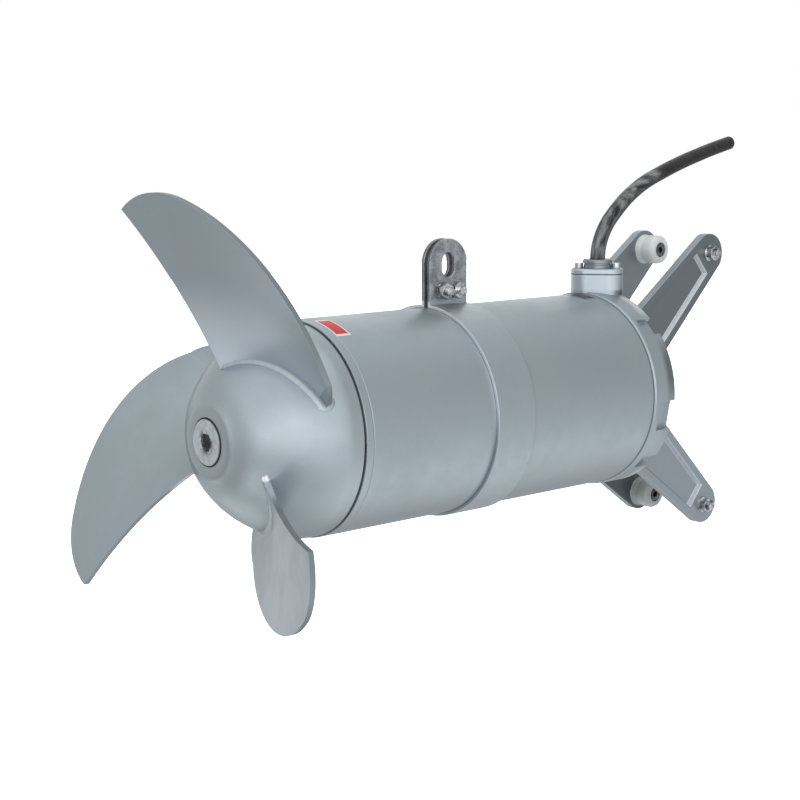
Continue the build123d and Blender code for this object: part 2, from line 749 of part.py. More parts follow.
# Rear bracket: one casting with the ring, the end wall, the rail pads, the arms and the gland box
bracket_spigot_radius = casing_flange_bore - seat_fit
x_bracket_spigot = x_ring - bracket_spigot
x_bracket_seal = x_bracket_spigot + (bracket_spigot - ring_seal) / 2
with BuildPart() as rear_bracket:
    add(turned([
        (x_ring, ring_bore), (x_ring, ring_radius - ring_edge), (x_ring + ring_edge, ring_radius),
        (x_wall_rear, ring_radius), (x_wall_rear, 0), (x_wall_front, 0),
        (x_wall_front, bracket_spigot_radius - spigot_wall),
        (x_bracket_spigot, bracket_spigot_radius - spigot_wall),
        (x_bracket_spigot, bracket_spigot_radius),
        (x_wall_front, bracket_spigot_radius), (x_wall_front, ring_bore),
    ]).part)
    add(
        ring(x_bracket_seal, ring_seal + free_fit, bracket_spigot_radius - ring_seal, casing_radius).part,
        mode=Mode.SUBTRACT,
    )
    with BuildSketch(Plane.YZ.offset(x_ring)):
        with GridLocations(bracket_screw_width, bracket_screw_rise, 2, 2):
            Circle(pillar_radius)
    extrude(amount=x_wall_front - x_ring)
    for angle, width in pockets:
        for pocket_angle in (angle, 180 - angle):
            with BuildSketch(Plane.YZ.offset(x_ring + pocket_lip)):
                with PolarLocations(ring_radius, 1, start_angle=pocket_angle):
                    Rectangle(2 * pocket_depth, width)
            extrude(amount=ring_length, mode=Mode.SUBTRACT)
    add(gland_box.part)
    for plate in (arm.part, arm.part.mirror(Plane.XY)):
        add(plate)
        add(plate.mirror(Plane.XZ))
    with BuildSketch(Plane.YZ.offset(x_wall_rear)):
        with GridLocations(rail_size - 2 * pad_inset, 0, 2, 1):
            Rectangle(pad_width, 2 * pad_reach)
    extrude(amount=pad_height)
    with BuildSketch(Plane.YZ.offset(x_ring)):
        with GridLocations(bracket_screw_width, bracket_screw_rise, 2, 2):
            Circle(bracket_screw_radius + thread_fit)
    extrude(amount=ring_length, mode=Mode.SUBTRACT)
    with BuildSketch(gland_plane(gland_box_top)):
        Circle(gland_bore)
    extrude(amount=-gland_well, mode=Mode.SUBTRACT)
    with BuildSketch(Plane.XY.offset(z_well)):
        with Locations((x_wall_front - wire_way - free_fit, 0)):
            Circle(wire_way)
    extrude(amount=bracket_spigot_radius - z_well, mode=Mode.SUBTRACT)
    with BuildSketch(gland_plane(gland_box_top)):
        with PolarLocations(gland_screw_spacing / 2, 2, start_angle=gland_turn):
            Circle(gland_screw_radius + thread_fit)
    extrude(amount=-gland_screw_length, mode=Mode.SUBTRACT)
save(rear_bracket, "rear_bracket")

bracket_ring_seal = ring(
    x_bracket_seal, ring_seal, bracket_spigot_radius - ring_seal + seat_fit, bracket_spigot_radius
)
save(bracket_ring_seal, "bracket_ring_seal")

bracket_screw = cap_screw(
    bracket_screw_radius, bracket_screw_length, bracket_screw_head_radius, bracket_screw_head,
    bracket_screw_socket,
)
with BuildPart(Plane.YZ.offset(x_wall_rear)) as rear_bracket_screws:
    with GridLocations(bracket_screw_width, bracket_screw_rise, 2, 2):
        add(bracket_screw)
save(rear_bracket_screws, "rear_bracket_screws")

# Terminal block on the end wall, under the cable gland
with BuildPart() as terminal_block:
    with BuildSketch(Plane.XY.offset(bracket_spigot_radius + free_fit)):
        with Locations((x_wall_front, 0)):
            Rectangle(block_depth, block_width, align=(Align.MAX, Align.CENTER))
    extrude(amount=block_height)
    with BuildSketch(Plane.XY.offset(bracket_spigot_radius + free_fit + block_height)):
        with Locations((x_wall_front - block_depth / 2, 0)):
            with GridLocations(0, block_width / block_slots, 1, block_slots):
                Rectangle(block_depth, block_slot_width)
    extrude(amount=-block_height / 2, mode=Mode.SUBTRACT)
save(terminal_block, "terminal_block")

# Cable gland: gasket, cover with two screws, rubber grommet and the nut that presses on it
with BuildPart() as gland_gasket:
    with BuildSketch(gland_plane(gland_box_top)):
        RectangleRounded(gland_length, gland_width, gland_corner, rotation=gland_turn)
        Circle(gland_bore, mode=Mode.SUBTRACT)
        with PolarLocations(gland_screw_spacing / 2, 2, start_angle=gland_turn):
            Circle(gland_screw_radius + thread_fit, mode=Mode.SUBTRACT)
    extrude(amount=gasket_thickness)
save(gland_gasket, "gland_gasket")

with BuildPart() as gland_cover:
    with BuildSketch(gland_plane(z_cover)):
        RectangleRounded(gland_length, gland_width, gland_corner, rotation=gland_turn)
    extrude(amount=gland_cover_thickness)
    chamfer(gland_cover.edges().group_by(Axis.Z)[-1], gland_edge)
    with BuildSketch(gland_plane(z_cover)):
        Circle(gland_bore)
        with PolarLocations(gland_screw_spacing / 2, 2, start_angle=gland_turn):
            Circle(gland_screw_radius + thread_fit)
    extrude(amount=gland_cover_thickness, mode=Mode.SUBTRACT)
save(gland_cover, "gland_cover")

gland_screw = cap_screw(
    gland_screw_radius, gland_screw_length, gland_screw_head_radius, gland_screw_head, gland_screw_socket
)
with BuildPart(gland_plane(z_cover_top)) as gland_screws:
    with PolarLocations(gland_screw_spacing / 2, 2, start_angle=gland_turn):
        add(gland_screw)
save(gland_screws, "gland_screws")

with BuildPart() as cable_grommet:
    with BuildSketch(gland_plane(z_cover_top)):
        Circle(gland_bore - seat_fit)
        Circle(grommet_bore, mode=Mode.SUBTRACT)
    extrude(amount=-grommet_height)
save(cable_grommet, "cable_grommet")

z_neck = z_cover_top + gland_base_height
z_collar = z_neck + gland_neck_height
with BuildPart() as gland_nut:
    with BuildSketch(gland_plane(z_cover_top)):
        Circle(gland_base_radius)
    extrude(amount=gland_base_height)
    with BuildSketch(gland_plane(z_neck)):
        Circle(gland_neck_radius)
    extrude(amount=gland_neck_height)
    with BuildSketch(gland_plane(z_collar)):
        Circle(gland_collar_radius)
    extrude(amount=gland_collar_height)
    chamfer(gland_nut.edges().group_by(Axis.Z)[-1], gland_edge)
    with BuildSketch(gland_plane(z_cover_top)):
        Circle(cable_radius + cable_way)
    extrude(amount=gland_base_height + gland_neck_height + gland_collar_height, mode=Mode.SUBTRACT)
save(gland_nut, "gland_nut")

# Power cable: straight runs joined by arcs, each arc as large as its two runs allow
cable_foot = [Vector(x_gland, 0, z_cover_top), Vector(x_gland, 0, z_cover_top + cable_rise)]
route = cable_foot + [Vector(*point) for point in cable_points]
runs = [after - before for before, after in zip(route, route[1:])]
radii = []
for first, second in zip(runs, runs[1:]):
    half_turn = radians(first.get_angle(second)) / 2
    radii.append(arc_share * min(first.length, second.length) / tan(half_turn))
print("cable arc radii:", [round(radius, 1) for radius in radii])
with BuildPart() as power_cable:
    with BuildLine() as cable_line:
        FilletPolyline(*route, radius=radii)
    with BuildSketch(Plane(origin=route[0], z_dir=runs[0])):
        Circle(cable_radius)
    sweep(path=cable_line.wire())
cable_length = cable_line.wire().length
print("cable length:", round(cable_length, 1))
tube_volume = pi * cable_radius**2 * cable_length
print("cable volume over section times length:", round(power_cable.part.volume / tube_volume, 4))
save(power_cable, "power_cable")

# Lifting strap: a band round the casing with both ends turned up into ears
strap_inner = casing_radius + strap_seat
strap_outer = strap_inner + strap_thickness
ear_face = ear_gap / 2 + strap_thickness
ear_middle = ear_gap / 2 + strap_thickness / 2
ear_radius = strap_width / 2
ear_top = casing_radius + ear_rise
z_slot = ear_top - sling_slot_drop
z_strap_bolt = casing_radius + strap_bolt_rise
with BuildPart() as lifting_strap:
    with BuildSketch(Plane.YZ.offset(x_strap - strap_width / 2)) as band:
        Circle(strap_outer)
        with Locations((-ear_middle, 0), (ear_middle, 0)):
            Rectangle(strap_thickness, ear_top, align=(Align.CENTER, Align.MIN))
        corners = band.vertices().filter_by(lambda corner: 0 < corner.Z < strap_outer)
        bends = corners.filter_by(lambda corner: abs(corner.Y) > ear_middle)
        fillet(bends, ear_bend)
        Circle(strap_inner, mode=Mode.SUBTRACT)
        Rectangle(ear_gap, ear_top, align=(Align.CENTER, Align.MIN), mode=Mode.SUBTRACT)
    extrude(amount=strap_width)
    with BuildSketch(Plane.XZ):
        with Locations((x_strap, ear_top - ear_radius)):
            Circle(ear_radius)
            Rectangle(strap_width, far_out, align=(Align.CENTER, Align.MAX))
    extrude(amount=far_out, both=True, mode=Mode.INTERSECT)
    with BuildSketch(Plane.XZ):
        with Locations((x_strap, z_slot)):
            SlotOverall(sling_slot_height, sling_slot_width, rotation=90)
        with Locations((x_strap, z_strap_bolt)):
            with GridLocations(strap_bolt_spacing, 0, 2, 1):
                Circle(strap_bolt_radius + thread_fit)
    extrude(amount=ear_face, both=True, mode=Mode.SUBTRACT)
save(lifting_strap, "lifting_strap")


def strap_places(side, out):
    """Places on the strap's bolt lines, on one side of the ears and facing away from them."""
    across = side * (ear_face + out)
    spots = [(x_strap + way * strap_bolt_spacing / 2, across, z_strap_bolt) for way in (-1, 1)]
    return [Plane(origin=spot, x_dir=(1, 0, 0), z_dir=(0, side, 0)).location for spot in spots]


strap_bolt_length = 2 * (ear_face + washer_thickness) + nut_height + strap_bolt_end
strap_bolt = hex_bolt(strap_bolt_radius, strap_bolt_length, strap_bolt_across, strap_bolt_head)
with BuildPart() as strap_bolts:
    with Locations(*strap_places(1, washer_thickness)):
        add(strap_bolt)
save(strap_bolts, "strap_bolts")
with BuildPart() as strap_nuts:
    with Locations(*strap_places(-1, washer_thickness + nut_height)):
        add(hex_nut(strap_bolt_radius, nut_across, nut_height))
save(strap_nuts, "strap_nuts")
with BuildPart() as strap_washers:
    with Locations(*strap_places(-1, washer_thickness), *strap_places(1, washer_thickness)):
        add(washer(strap_bolt_radius, strap_washer_radius, washer_thickness))
save(strap_washers, "strap_washers")


# Screws through the four arm tips. On the far arms, a white roller turns on each of them.
near, far = -1, 1


def arm_place(side, level, reach):
    """A place on an arm screw's axis at a distance from the middle plane, facing inwards."""
    origin = (x_roller, side * reach, level * roller_height)
    return Plane(origin=origin, x_dir=(1, 0, 0), z_dir=(0, -side, 0)).location


def arm_places(sides, reach):
    return [arm_place(side, level, reach) for side in sides for level in (1, -1)]


y_roller = y_arm_boss - roller_side_gap - roller_length
y_roller_seat = y_roller + roller_head_sink + roller_bolt_head
roller_web = y_roller + roller_length - y_roller_seat - roller_side_gap
with BuildPart() as roller:
    Cylinder(roller_radius, roller_length, align=(Align.CENTER, Align.CENTER, Align.MIN))
    fillet(roller.edges().group_by(Axis.Z)[-1], roller_edge)
    chamfer(roller.edges().group_by(Axis.Z)[0], roller_chamfer)
    with BuildSketch():
        Circle(roller_bolt_radius + running_fit)
    extrude(amount=roller_length, mode=Mode.SUBTRACT)
    with BuildSketch(Plane.XY.offset(roller_web)):
        Circle(roller_bolt_head_radius + roller_head_way)
    extrude(amount=roller_length, mode=Mode.SUBTRACT)

for level, level_name in ((1, "upper"), (-1, "lower")):
    with BuildPart() as guide_roller:
        with Locations(arm_place(far, level, y_roller + roller_length)):
            add(roller.part)
    save(guide_roller, f"guide_roller_far_{level_name}")


def arm_screw(y_seat):
    """A socket screw from its seat inside the arm to its end beyond the nut."""
    length = y_arm_face + washer_thickness + nut_height + roller_bolt_end - y_seat
    return cap_screw(
        roller_bolt_radius, length, roller_bolt_head_radius, roller_bolt_head, roller_bolt_socket
    )


for name, side, y_seat in (("roller_bolts", far, y_roller_seat), ("arm_screws", near, y_arm_boss)):
    with BuildPart() as screws:
        with Locations(*arm_places([side], y_seat)):
            add(arm_screw(y_seat))
    save(screws, name)
with BuildPart() as roller_washers:
    with Locations(*arm_places([near, far], y_arm_face)):
        add(washer(roller_bolt_radius, washer_radius, washer_thickness))
save(roller_washers, "roller_washers")
with BuildPart() as roller_nuts:
    with Locations(*arm_places([near, far], y_arm_face + washer_thickness)):
        add(hex_nut(roller_bolt_radius, nut_across, nut_height))
save(roller_nuts, "roller_nuts")
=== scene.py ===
import json
from math import cos, pi, radians, sin

import bmesh
import bpy
import numpy as np
from mathutils import Matrix


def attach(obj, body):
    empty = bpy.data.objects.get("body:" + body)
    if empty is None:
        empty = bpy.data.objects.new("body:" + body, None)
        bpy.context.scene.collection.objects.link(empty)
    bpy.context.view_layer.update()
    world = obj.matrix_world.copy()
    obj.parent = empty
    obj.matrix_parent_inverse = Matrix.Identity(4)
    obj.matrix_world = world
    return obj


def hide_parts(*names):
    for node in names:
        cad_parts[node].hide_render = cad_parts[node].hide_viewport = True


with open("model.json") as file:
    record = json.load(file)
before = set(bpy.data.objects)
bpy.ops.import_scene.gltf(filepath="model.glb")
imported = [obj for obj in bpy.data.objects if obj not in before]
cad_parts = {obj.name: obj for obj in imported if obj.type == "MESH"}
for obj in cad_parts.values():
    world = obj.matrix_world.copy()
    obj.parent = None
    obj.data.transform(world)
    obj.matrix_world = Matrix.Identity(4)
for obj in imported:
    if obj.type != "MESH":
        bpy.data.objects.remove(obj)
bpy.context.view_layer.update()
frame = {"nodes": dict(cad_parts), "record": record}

MM = 0.001

# The casing: its radius and its two ends
CASING_RADIUS = 92.0 * MM
X_CASING_REAR = -76.0 * MM
X_CASING_FRONT = -413.0 * MM

# The hub: its rear face, where its nose starts, the nose's length, the radius at its front and at its foot,
# and the power in its outline
X_HUB_REAR = X_CASING_FRONT - 8.8 * MM
X_HUB_WIDE = X_HUB_REAR - 9.3 * MM
NOSE_LENGTH = 80.1 * MM
NOSE_RADIUS = 24.1 * MM
HUB_RADIUS = 90.6 * MM
HUB_POWER = 1.605

# The nose plug's face, its radius, and the radius of its hole
X_PLUG_FACE = X_HUB_REAR - 90.6 * MM
PLUG_RADIUS = 19.4 * MM
PLUG_HOLE_RADIUS = 19.9 * MM

# The blades: degrees from one to the next, the plate's thickness, its advance per turn, how far it leans
# forward per radius, and where its middle lies straight above the axis at one radius
BLADE_TURN = 120
BLADE_THICKNESS = 4.6 * MM
BLADE_LEAD = 257.6 * MM
BLADE_RAKE = 0.374
STATION_RADIUS = 60.0 * MM
X_STATION = X_HUB_REAR - 66.8 * MM

# The bracket: the front face of its end wall, its ring's radius, how far at most the gland box reaches to the
# rear and to each side, the arms' inner faces, the rollers' screws, and how far at most the rollers' bosses
# reach round the screws and out of the arms
X_WALL = -59.0 * MM
RING_RADIUS = 94.0 * MM
X_BOX_LIMIT = -24.0 * MM
Y_BOX_LIMIT = 33.5 * MM
ARM_FACE = 37.6 * MM
ROLLER_X = 55.1 * MM
ROLLER_Z = 127.5 * MM
BOSS_RADIUS = 15.6 * MM
BOSS_HEIGHT = 9.1 * MM

# Where the strap's bare ears start
EAR_FOOT = 99.0 * MM

# How metallic the silver paint is, its colours, the pale silver of a painted highlight, and the rollers'
# white
PAINT_METALLIC = 0.75
SILVER = (0.375, 0.430, 0.475)
SILVER_SHADE = (0.350, 0.408, 0.440)
HIGHLIGHT_SILVER = (0.86, 0.90, 0.93)
NYLON_WHITE = (0.70, 0.74, 0.73)

FLOAT = "NodeSocketFloat"
VECTOR = "NodeSocketVector"


# Shader helpers

def node(tree, kind, **settings):
    made = tree.nodes.new(kind)
    for key, value in settings.items():
        setattr(made, key, value)
    return made


def wire(tree, source, target):
    """Links a socket to the target, or sets the target to a fixed value."""
    if isinstance(source, bpy.types.NodeSocket):
        tree.links.new(source, target)
    else:
        target.default_value = source


def new_group(name, inputs, outputs):
    """An empty shader group with named inputs (name, kind, start value) and outputs (name, kind)."""
    group = bpy.data.node_groups.new(name, "ShaderNodeTree")
    for label, kind, value in inputs:
        socket = group.interface.new_socket(label, in_out="INPUT", socket_type=kind)
        if value is not None:
            socket.default_value = value
    for label, kind in outputs:
        group.interface.new_socket(label, in_out="OUTPUT", socket_type=kind)
    return group, node(group, "NodeGroupInput"), node(group, "NodeGroupOutput")


def use(tree, group, **values):
    """Places a shader group in a tree, with its own values."""
    made = node(tree, "ShaderNodeGroup", node_tree=group)
    for label, value in values.items():
        wire(tree, value, made.inputs[label])
    return made


def math_node(tree, operation, *values):
    made = node(tree, "ShaderNodeMath", operation=operation)
    for socket, value in zip(made.inputs, values):
        wire(tree, value, socket)
    return made.outputs[0]


def times(tree, first, *others):
    """Product of two or more values."""
    for other in others:
        first = math_node(tree, "MULTIPLY", first, other)
    return first


def plus(tree, first, second):
    return math_node(tree, "ADD", first, second)


def minus(tree, first, second):
    return math_node(tree, "SUBTRACT", first, second)


def long_side(tree, first, second):
    """Length of the long side over two sides at a right angle: the square root of first^2 + second^2."""
    return math_node(tree, "SQRT", plus(tree, times(tree, first, first), times(tree, second, second)))


def map_range(tree, value, low, high, to_low=0.0, to_high=1.0):
    """Goes smoothly from to_low to to_high while the value goes from low to high."""
    made = node(tree, "ShaderNodeMapRange", interpolation_type="SMOOTHSTEP")
    wire(tree, value, made.inputs["Value"])
    for label, number in (("From Min", low), ("From Max", high), ("To Min", to_low), ("To Max", to_high)):
        wire(tree, number, made.inputs[label])
    return made.outputs["Result"]


def dot(tree, first, second):
    """Dot product of a vector with another one or with three fixed numbers."""
    made = node(tree, "ShaderNodeVectorMath", operation="DOT_PRODUCT")
    wire(tree, first, made.inputs[0])
    wire(tree, second, made.inputs[1])
    return made.outputs["Value"]


def vector_of(tree, *values):
    """A vector made of three values."""
    made = node(tree, "ShaderNodeCombineXYZ")
    for socket, value in zip(made.inputs, values):
        wire(tree, value, socket)
    return made.outputs[0]


def parts_of(tree, vector):
    """The X, Y and Z outputs of a vector."""
    made = node(tree, "ShaderNodeSeparateXYZ")
    wire(tree, vector, made.inputs[0])
    return made.outputs


def coordinate(tree, kind):
    """The Object, Normal or UV coordinate of a point of a piece, or the direction of a point of the sky."""
    return node(tree, "ShaderNodeTexCoord").outputs[kind]


def squareness(tree, axis):
    """1 where a face stands square to the X, Y or Z axis (0, 1 or 2), and 0 where it runs along it."""
    return math_node(tree, "ABSOLUTE", parts_of(tree, coordinate(tree, "Normal"))[axis])


def from_axis(tree, place):
    """Distance of a point from the propeller axis."""
    y, z = parts_of(tree, place)[1:]
    return long_side(tree, y, z)


def noise(tree, vector, scale, detail=4.0, roughness=0.55):
    made = node(tree, "ShaderNodeTexNoise")
    for label, value in (("Vector", vector), ("Scale", scale), ("Detail", detail), ("Roughness", roughness)):
        wire(tree, value, made.inputs[label])
    return made.outputs["Fac"]


def mix_colors(tree, mask, first, second):
    """The first colour where the mask is 0 and the second where it is 1."""
    made = node(tree, "ShaderNodeMix", data_type="RGBA")
    wire(tree, mask, made.inputs["Factor"])
    for label, value in (("A", first), ("B", second)):
        socket = [s for s in made.inputs if s.name == label and s.type == "RGBA"][0]
        wire(tree, (*value, 1.0) if isinstance(value, tuple) else value, socket)
    return [s for s in made.outputs if s.type == "RGBA"][0]


def bump(tree, height, strength, distance, normal=None):
    made = node(tree, "ShaderNodeBump")
    made.inputs["Strength"].default_value = strength
    made.inputs["Distance"].default_value = distance
    wire(tree, height, made.inputs["Height"])
    if normal is not None:
        wire(tree, normal, made.inputs["Normal"])
    return made.outputs["Normal"]


# Effects that several finishes share

def make_clouds():
    """Soft patches: two sizes of noise added together and stretched to 0..1."""
    group, source, target = new_group(
        "soft_patches", [("Vector", VECTOR, None), ("Scale", FLOAT, 12.0)], [("Mask", FLOAT)]
    )
    place, scale = source.outputs["Vector"], source.outputs["Scale"]
    large = noise(group, place, scale, detail=3.0)
    small = noise(group, place, times(group, scale, 6.3), detail=5.0, roughness=0.6)
    both = plus(group, times(group, large, 0.65), times(group, small, 0.35))
    wire(group, map_range(group, both, 0.36, 0.64), target.inputs["Mask"])
    return group


def make_specks():
    """Sparse small spots: noise that shows only where it is highest."""
    group, source, target = new_group(
        "small_specks",
        [("Vector", VECTOR, None), ("Scale", FLOAT, 260.0), ("Rarity", FLOAT, 0.68)],
        [("Mask", FLOAT)],
    )
    rarity = source.outputs["Rarity"]
    spots = noise(group, source.outputs["Vector"], source.outputs["Scale"], detail=2.0, roughness=0.5)
    wire(group, map_range(group, spots, rarity, plus(group, rarity, 0.07)), target.inputs["Mask"])
    return group


def make_edges():
    """Edge mask: how far the normal turns when the corners are rounded by a radius."""
    group, source, target = new_group(
        "worn_and_highlit_edges", [("Radius", FLOAT, 0.001), ("Gain", FLOAT, 3.0)], [("Mask", FLOAT), ("Normal", VECTOR)]
    )
    rounded = node(group, "ShaderNodeBevel", samples=6)
    wire(group, source.outputs["Radius"], rounded.inputs["Radius"])
    same = dot(group, rounded.outputs["Normal"], node(group, "ShaderNodeNewGeometry").outputs["Normal"])
    gained = times(group, minus(group, 1.0, same), source.outputs["Gain"])
    gained.node.use_clamp = True
    wire(group, gained, target.inputs["Mask"])
    wire(group, rounded.outputs["Normal"], target.inputs["Normal"])
    return group


CLOUDS = make_clouds()
SPECKS = make_specks()
EDGES = make_edges()


def patches_at(tree, place, scale):
    """Mask of soft patches. A greater scale makes them smaller."""
    return use(tree, CLOUDS, Vector=place, Scale=scale).outputs["Mask"]


def specks_at(tree, place, scale, rarity):
    """Mask of small spots. A greater scale makes them smaller, and a greater rarity sparser."""
    return use(tree, SPECKS, Vector=place, Scale=scale, Rarity=rarity).outputs["Mask"]


def start_material(name):
    """A new material with its tree, its shader and the place of a point on the piece."""
    material = bpy.data.materials.new(name)
    material.use_nodes = True
    tree = material.node_tree
    return material, tree, tree.nodes["Principled BSDF"], coordinate(tree, "Object")


def coat(tree, shader, color, rough, normal):
    """Gives a material's shader its colour, its roughness and its normal."""
    for label, source in (("Base Color", color), ("Roughness", rough), ("Normal", normal)):
        wire(tree, source, shader.inputs[label])


# Marks: places on a piece where its finish is another colour; some of them are painted shade, painted
# highlight or painted reflection

def plug_gap_shade(tree, place):
    """Mask of the hub's wall round the nose plug, painted black as the shade in the gap."""
    reach = from_axis(tree, place)
    return map_range(tree, reach, PLUG_HOLE_RADIUS + 0.1 * MM, PLUG_HOLE_RADIUS + 0.7 * MM, 1.0, 0.0)


def shaded_arm_faces(tree, place):
    """Mask of the arms' flat side faces, darkened as painted shade, most of all on the lower far arm."""
    flat = map_range(tree, squareness(tree, 1), 0.80, 0.95)
    x, y, z = parts_of(tree, place)
    behind = map_range(tree, x, X_WALL - 3 * MM, X_WALL + 5 * MM, 0.0, 0.55)
    lower = map_range(tree, y, -20 * MM, 20 * MM, 0.25, 1.25)
    upper = map_range(tree, y, -20 * MM, 20 * MM, 1.0, 0.6)
    return times(tree, flat, behind, map_range(tree, z, -10 * MM, 20 * MM, lower, upper))


def recess_wall_highlight(tree, place):
    """Mask of the sloped walls round the arms' sunk panels, made bright as a painted highlight."""
    slope = squareness(tree, 1)
    steep = map_range(tree, slope, 0.28, 0.36)
    low = map_range(tree, slope, 0.56, 0.66, 1.0, 0.0)
    behind = map_range(tree, parts_of(tree, place)[0], X_WALL - 1 * MM, X_WALL + 5 * MM, 0.0, 0.65)
    return times(tree, steep, low, behind)


def gland_box(tree, place):
    """Mask of the cable gland's box on top of the ring, which has a thicker and paler coat."""
    x, y, z = parts_of(tree, place)
    across = math_node(tree, "ABSOLUTE", y)
    above = map_range(tree, z, RING_RADIUS, RING_RADIUS + 3 * MM)
    before = map_range(tree, x, X_BOX_LIMIT - 2 * MM, X_BOX_LIMIT + 2 * MM, 1.0, 0.0)
    inside = map_range(tree, across, Y_BOX_LIMIT - 0.5 * MM, Y_BOX_LIMIT + 0.5 * MM, 1.0, 0.0)
    return times(tree, above, before, inside)


def roller_boss(tree, place):
    """Mask of the boss between each far arm and its roller, which looks like the roller."""
    x, y, z = parts_of(tree, place)
    across = minus(tree, x, ROLLER_X)
    height = minus(tree, math_node(tree, "ABSOLUTE", z), ROLLER_Z)
    reach = long_side(tree, across, height)
    near = map_range(tree, reach, BOSS_RADIUS - 0.2 * MM, BOSS_RADIUS + 0.2 * MM, 1.0, 0.0)
    inner = map_range(tree, y, ARM_FACE - BOSS_HEIGHT - 0.5 * MM, ARM_FACE - BOSS_HEIGHT + 0.5 * MM)
    outer = map_range(tree, y, ARM_FACE - 0.4 * MM, ARM_FACE, 1.0, 0.0)
    return times(tree, inner, outer, near)


def shaded_lower_boss(tree, place):
    """Mask of the lower arm's boss alone, darkened grey as painted shade like its roller."""
    below = map_range(tree, parts_of(tree, place)[2], -10 * MM, 0.0, 1.0, 0.0)
    return times(tree, roller_boss(tree, place), below)


def blade_edge(tree, place, radius):
    """Mask of the blades' cut rims.

    The plate's middle is x - lead * angle / turn + rake * r = const, so its slope is
    (1, rake y / r + s z / r, rake z / r - s y / r) with s = lead / (turn * r). A rim stands square to it.
    """
    y, z = parts_of(tree, place)[1:]
    lead = math_node(tree, "DIVIDE", BLADE_LEAD / (2 * pi), radius)
    side_y = math_node(tree, "DIVIDE", y, radius)
    side_z = math_node(tree, "DIVIDE", z, radius)
    slope_y = plus(tree, times(tree, side_y, BLADE_RAKE), times(tree, side_z, lead))
    slope_z = minus(tree, times(tree, side_z, BLADE_RAKE), times(tree, side_y, lead))
    upright = node(tree, "ShaderNodeVectorMath", operation="NORMALIZE")
    wire(tree, vector_of(tree, 1.0, slope_y, slope_z), upright.inputs[0])
    flatness = math_node(tree, "ABSOLUTE", dot(tree, upright.outputs[0], coordinate(tree, "Normal")))
    return map_range(tree, flatness, 0.35, 0.75, 1.0, 0.0)


def blade_rim_shade(tree, place):
    """Mask of the blades' rims past the hub, darkened as painted shade."""
    radius = from_axis(tree, place)
    outside = map_range(tree, radius, 78 * MM, 100 * MM, 0.0, 0.40)
    return times(tree, blade_edge(tree, place, radius), outside)


def root_rim_highlight(tree, place):
    """Mask of the blades' rims close to the nose, made bright as a painted highlight."""
    radius = from_axis(tree, place)
    inside = map_range(tree, radius, 74 * MM, 90 * MM, 0.6, 0.0)
    return times(tree, blade_edge(tree, place, radius), inside)


def blade_root_reflection(tree, place):
    """Mask of a blade's foot, made paler as a painted reflection of the hub."""
    return map_range(tree, from_axis(tree, place), 88 * MM, 138 * MM, 0.75, 0.0)


# Finishes

def silver_paint(name, base, shade, rough, edge_radius, edge_gain=1.6, marks=()):
    """Sprayed silver-grey paint: soft patches of a second shade, paler corners (partly wear, partly painted
    highlight), fine grain, small specks.

    marks are pairs: a function of the tree and the place that gives a mask, and the colour there.
    """
    material, tree, shader, place = start_material(name)
    patches = patches_at(tree, place, scale=9.0)
    specks = times(tree, specks_at(tree, place, scale=420.0, rarity=0.70), 0.35)
    edges = use(tree, EDGES, Radius=edge_radius, Gain=edge_gain)
    pale = tuple(min(1.0, 1.45 * c) for c in base)
    color = mix_colors(tree, patches, base, shade)
    color = mix_colors(tree, specks, color, tuple(0.55 * c for c in base))
    # Paler corners: partly wear, partly a painted highlight along the edges.
    color = mix_colors(tree, times(tree, edges.outputs["Mask"], 0.55), color, pale)
    for mask, mark_color in marks:
        color = mix_colors(tree, mask(tree, place), color, mark_color)
    grain = noise(tree, place, scale=900.0, detail=3.0)
    wavy = noise(tree, place, scale=55.0, detail=2.0)
    cloudy = plus(tree, times(tree, grain, 0.5), times(tree, patches, 0.5))
    height = plus(tree, times(tree, grain, 0.12), wavy)
    coat(
        tree, shader, color, map_range(tree, cloudy, 0.25, 0.75, rough - 0.05, rough + 0.06),
        bump(tree, height, strength=0.10, distance=1.0 * MM, normal=edges.outputs["Normal"])
    )
    shader.inputs["Metallic"].default_value = PAINT_METALLIC
    shader.inputs["Specular Tint"].default_value = (0.75, 0.75, 0.75, 1.0)
    return material


def bare_metal(name, base, shade, rough, edge_radius, patch_scale=60.0, dirt=0.25, metallic=1.0):
    """Plated or plain steel: mottled patches, dull specks and bright corners (partly wear, partly painted
    highlight).
    """
    material, tree, shader, place = start_material(name)
    patches = patches_at(tree, place, scale=patch_scale)
    specks = times(tree, specks_at(tree, place, scale=700.0, rarity=0.62), dirt)
    edges = use(tree, EDGES, Radius=edge_radius, Gain=2.0)
    bright = tuple(min(1.0, 1.4 * c) for c in base)
    color = mix_colors(tree, patches, base, shade)
    color = mix_colors(tree, specks, color, tuple(0.35 * c for c in shade))
    # Brighter corners: partly wear, partly a painted highlight along the edges.
    color = mix_colors(tree, times(tree, edges.outputs["Mask"], 0.5), color, bright)
    grain = noise(tree, place, scale=1500.0, detail=3.0)
    coat(
        tree, shader, color, map_range(tree, patches, 0.0, 1.0, rough - 0.06, rough + 0.10),
        bump(tree, grain, strength=0.12, distance=0.4 * MM, normal=edges.outputs["Normal"])
    )
    shader.inputs["Metallic"].default_value = metallic
    return material


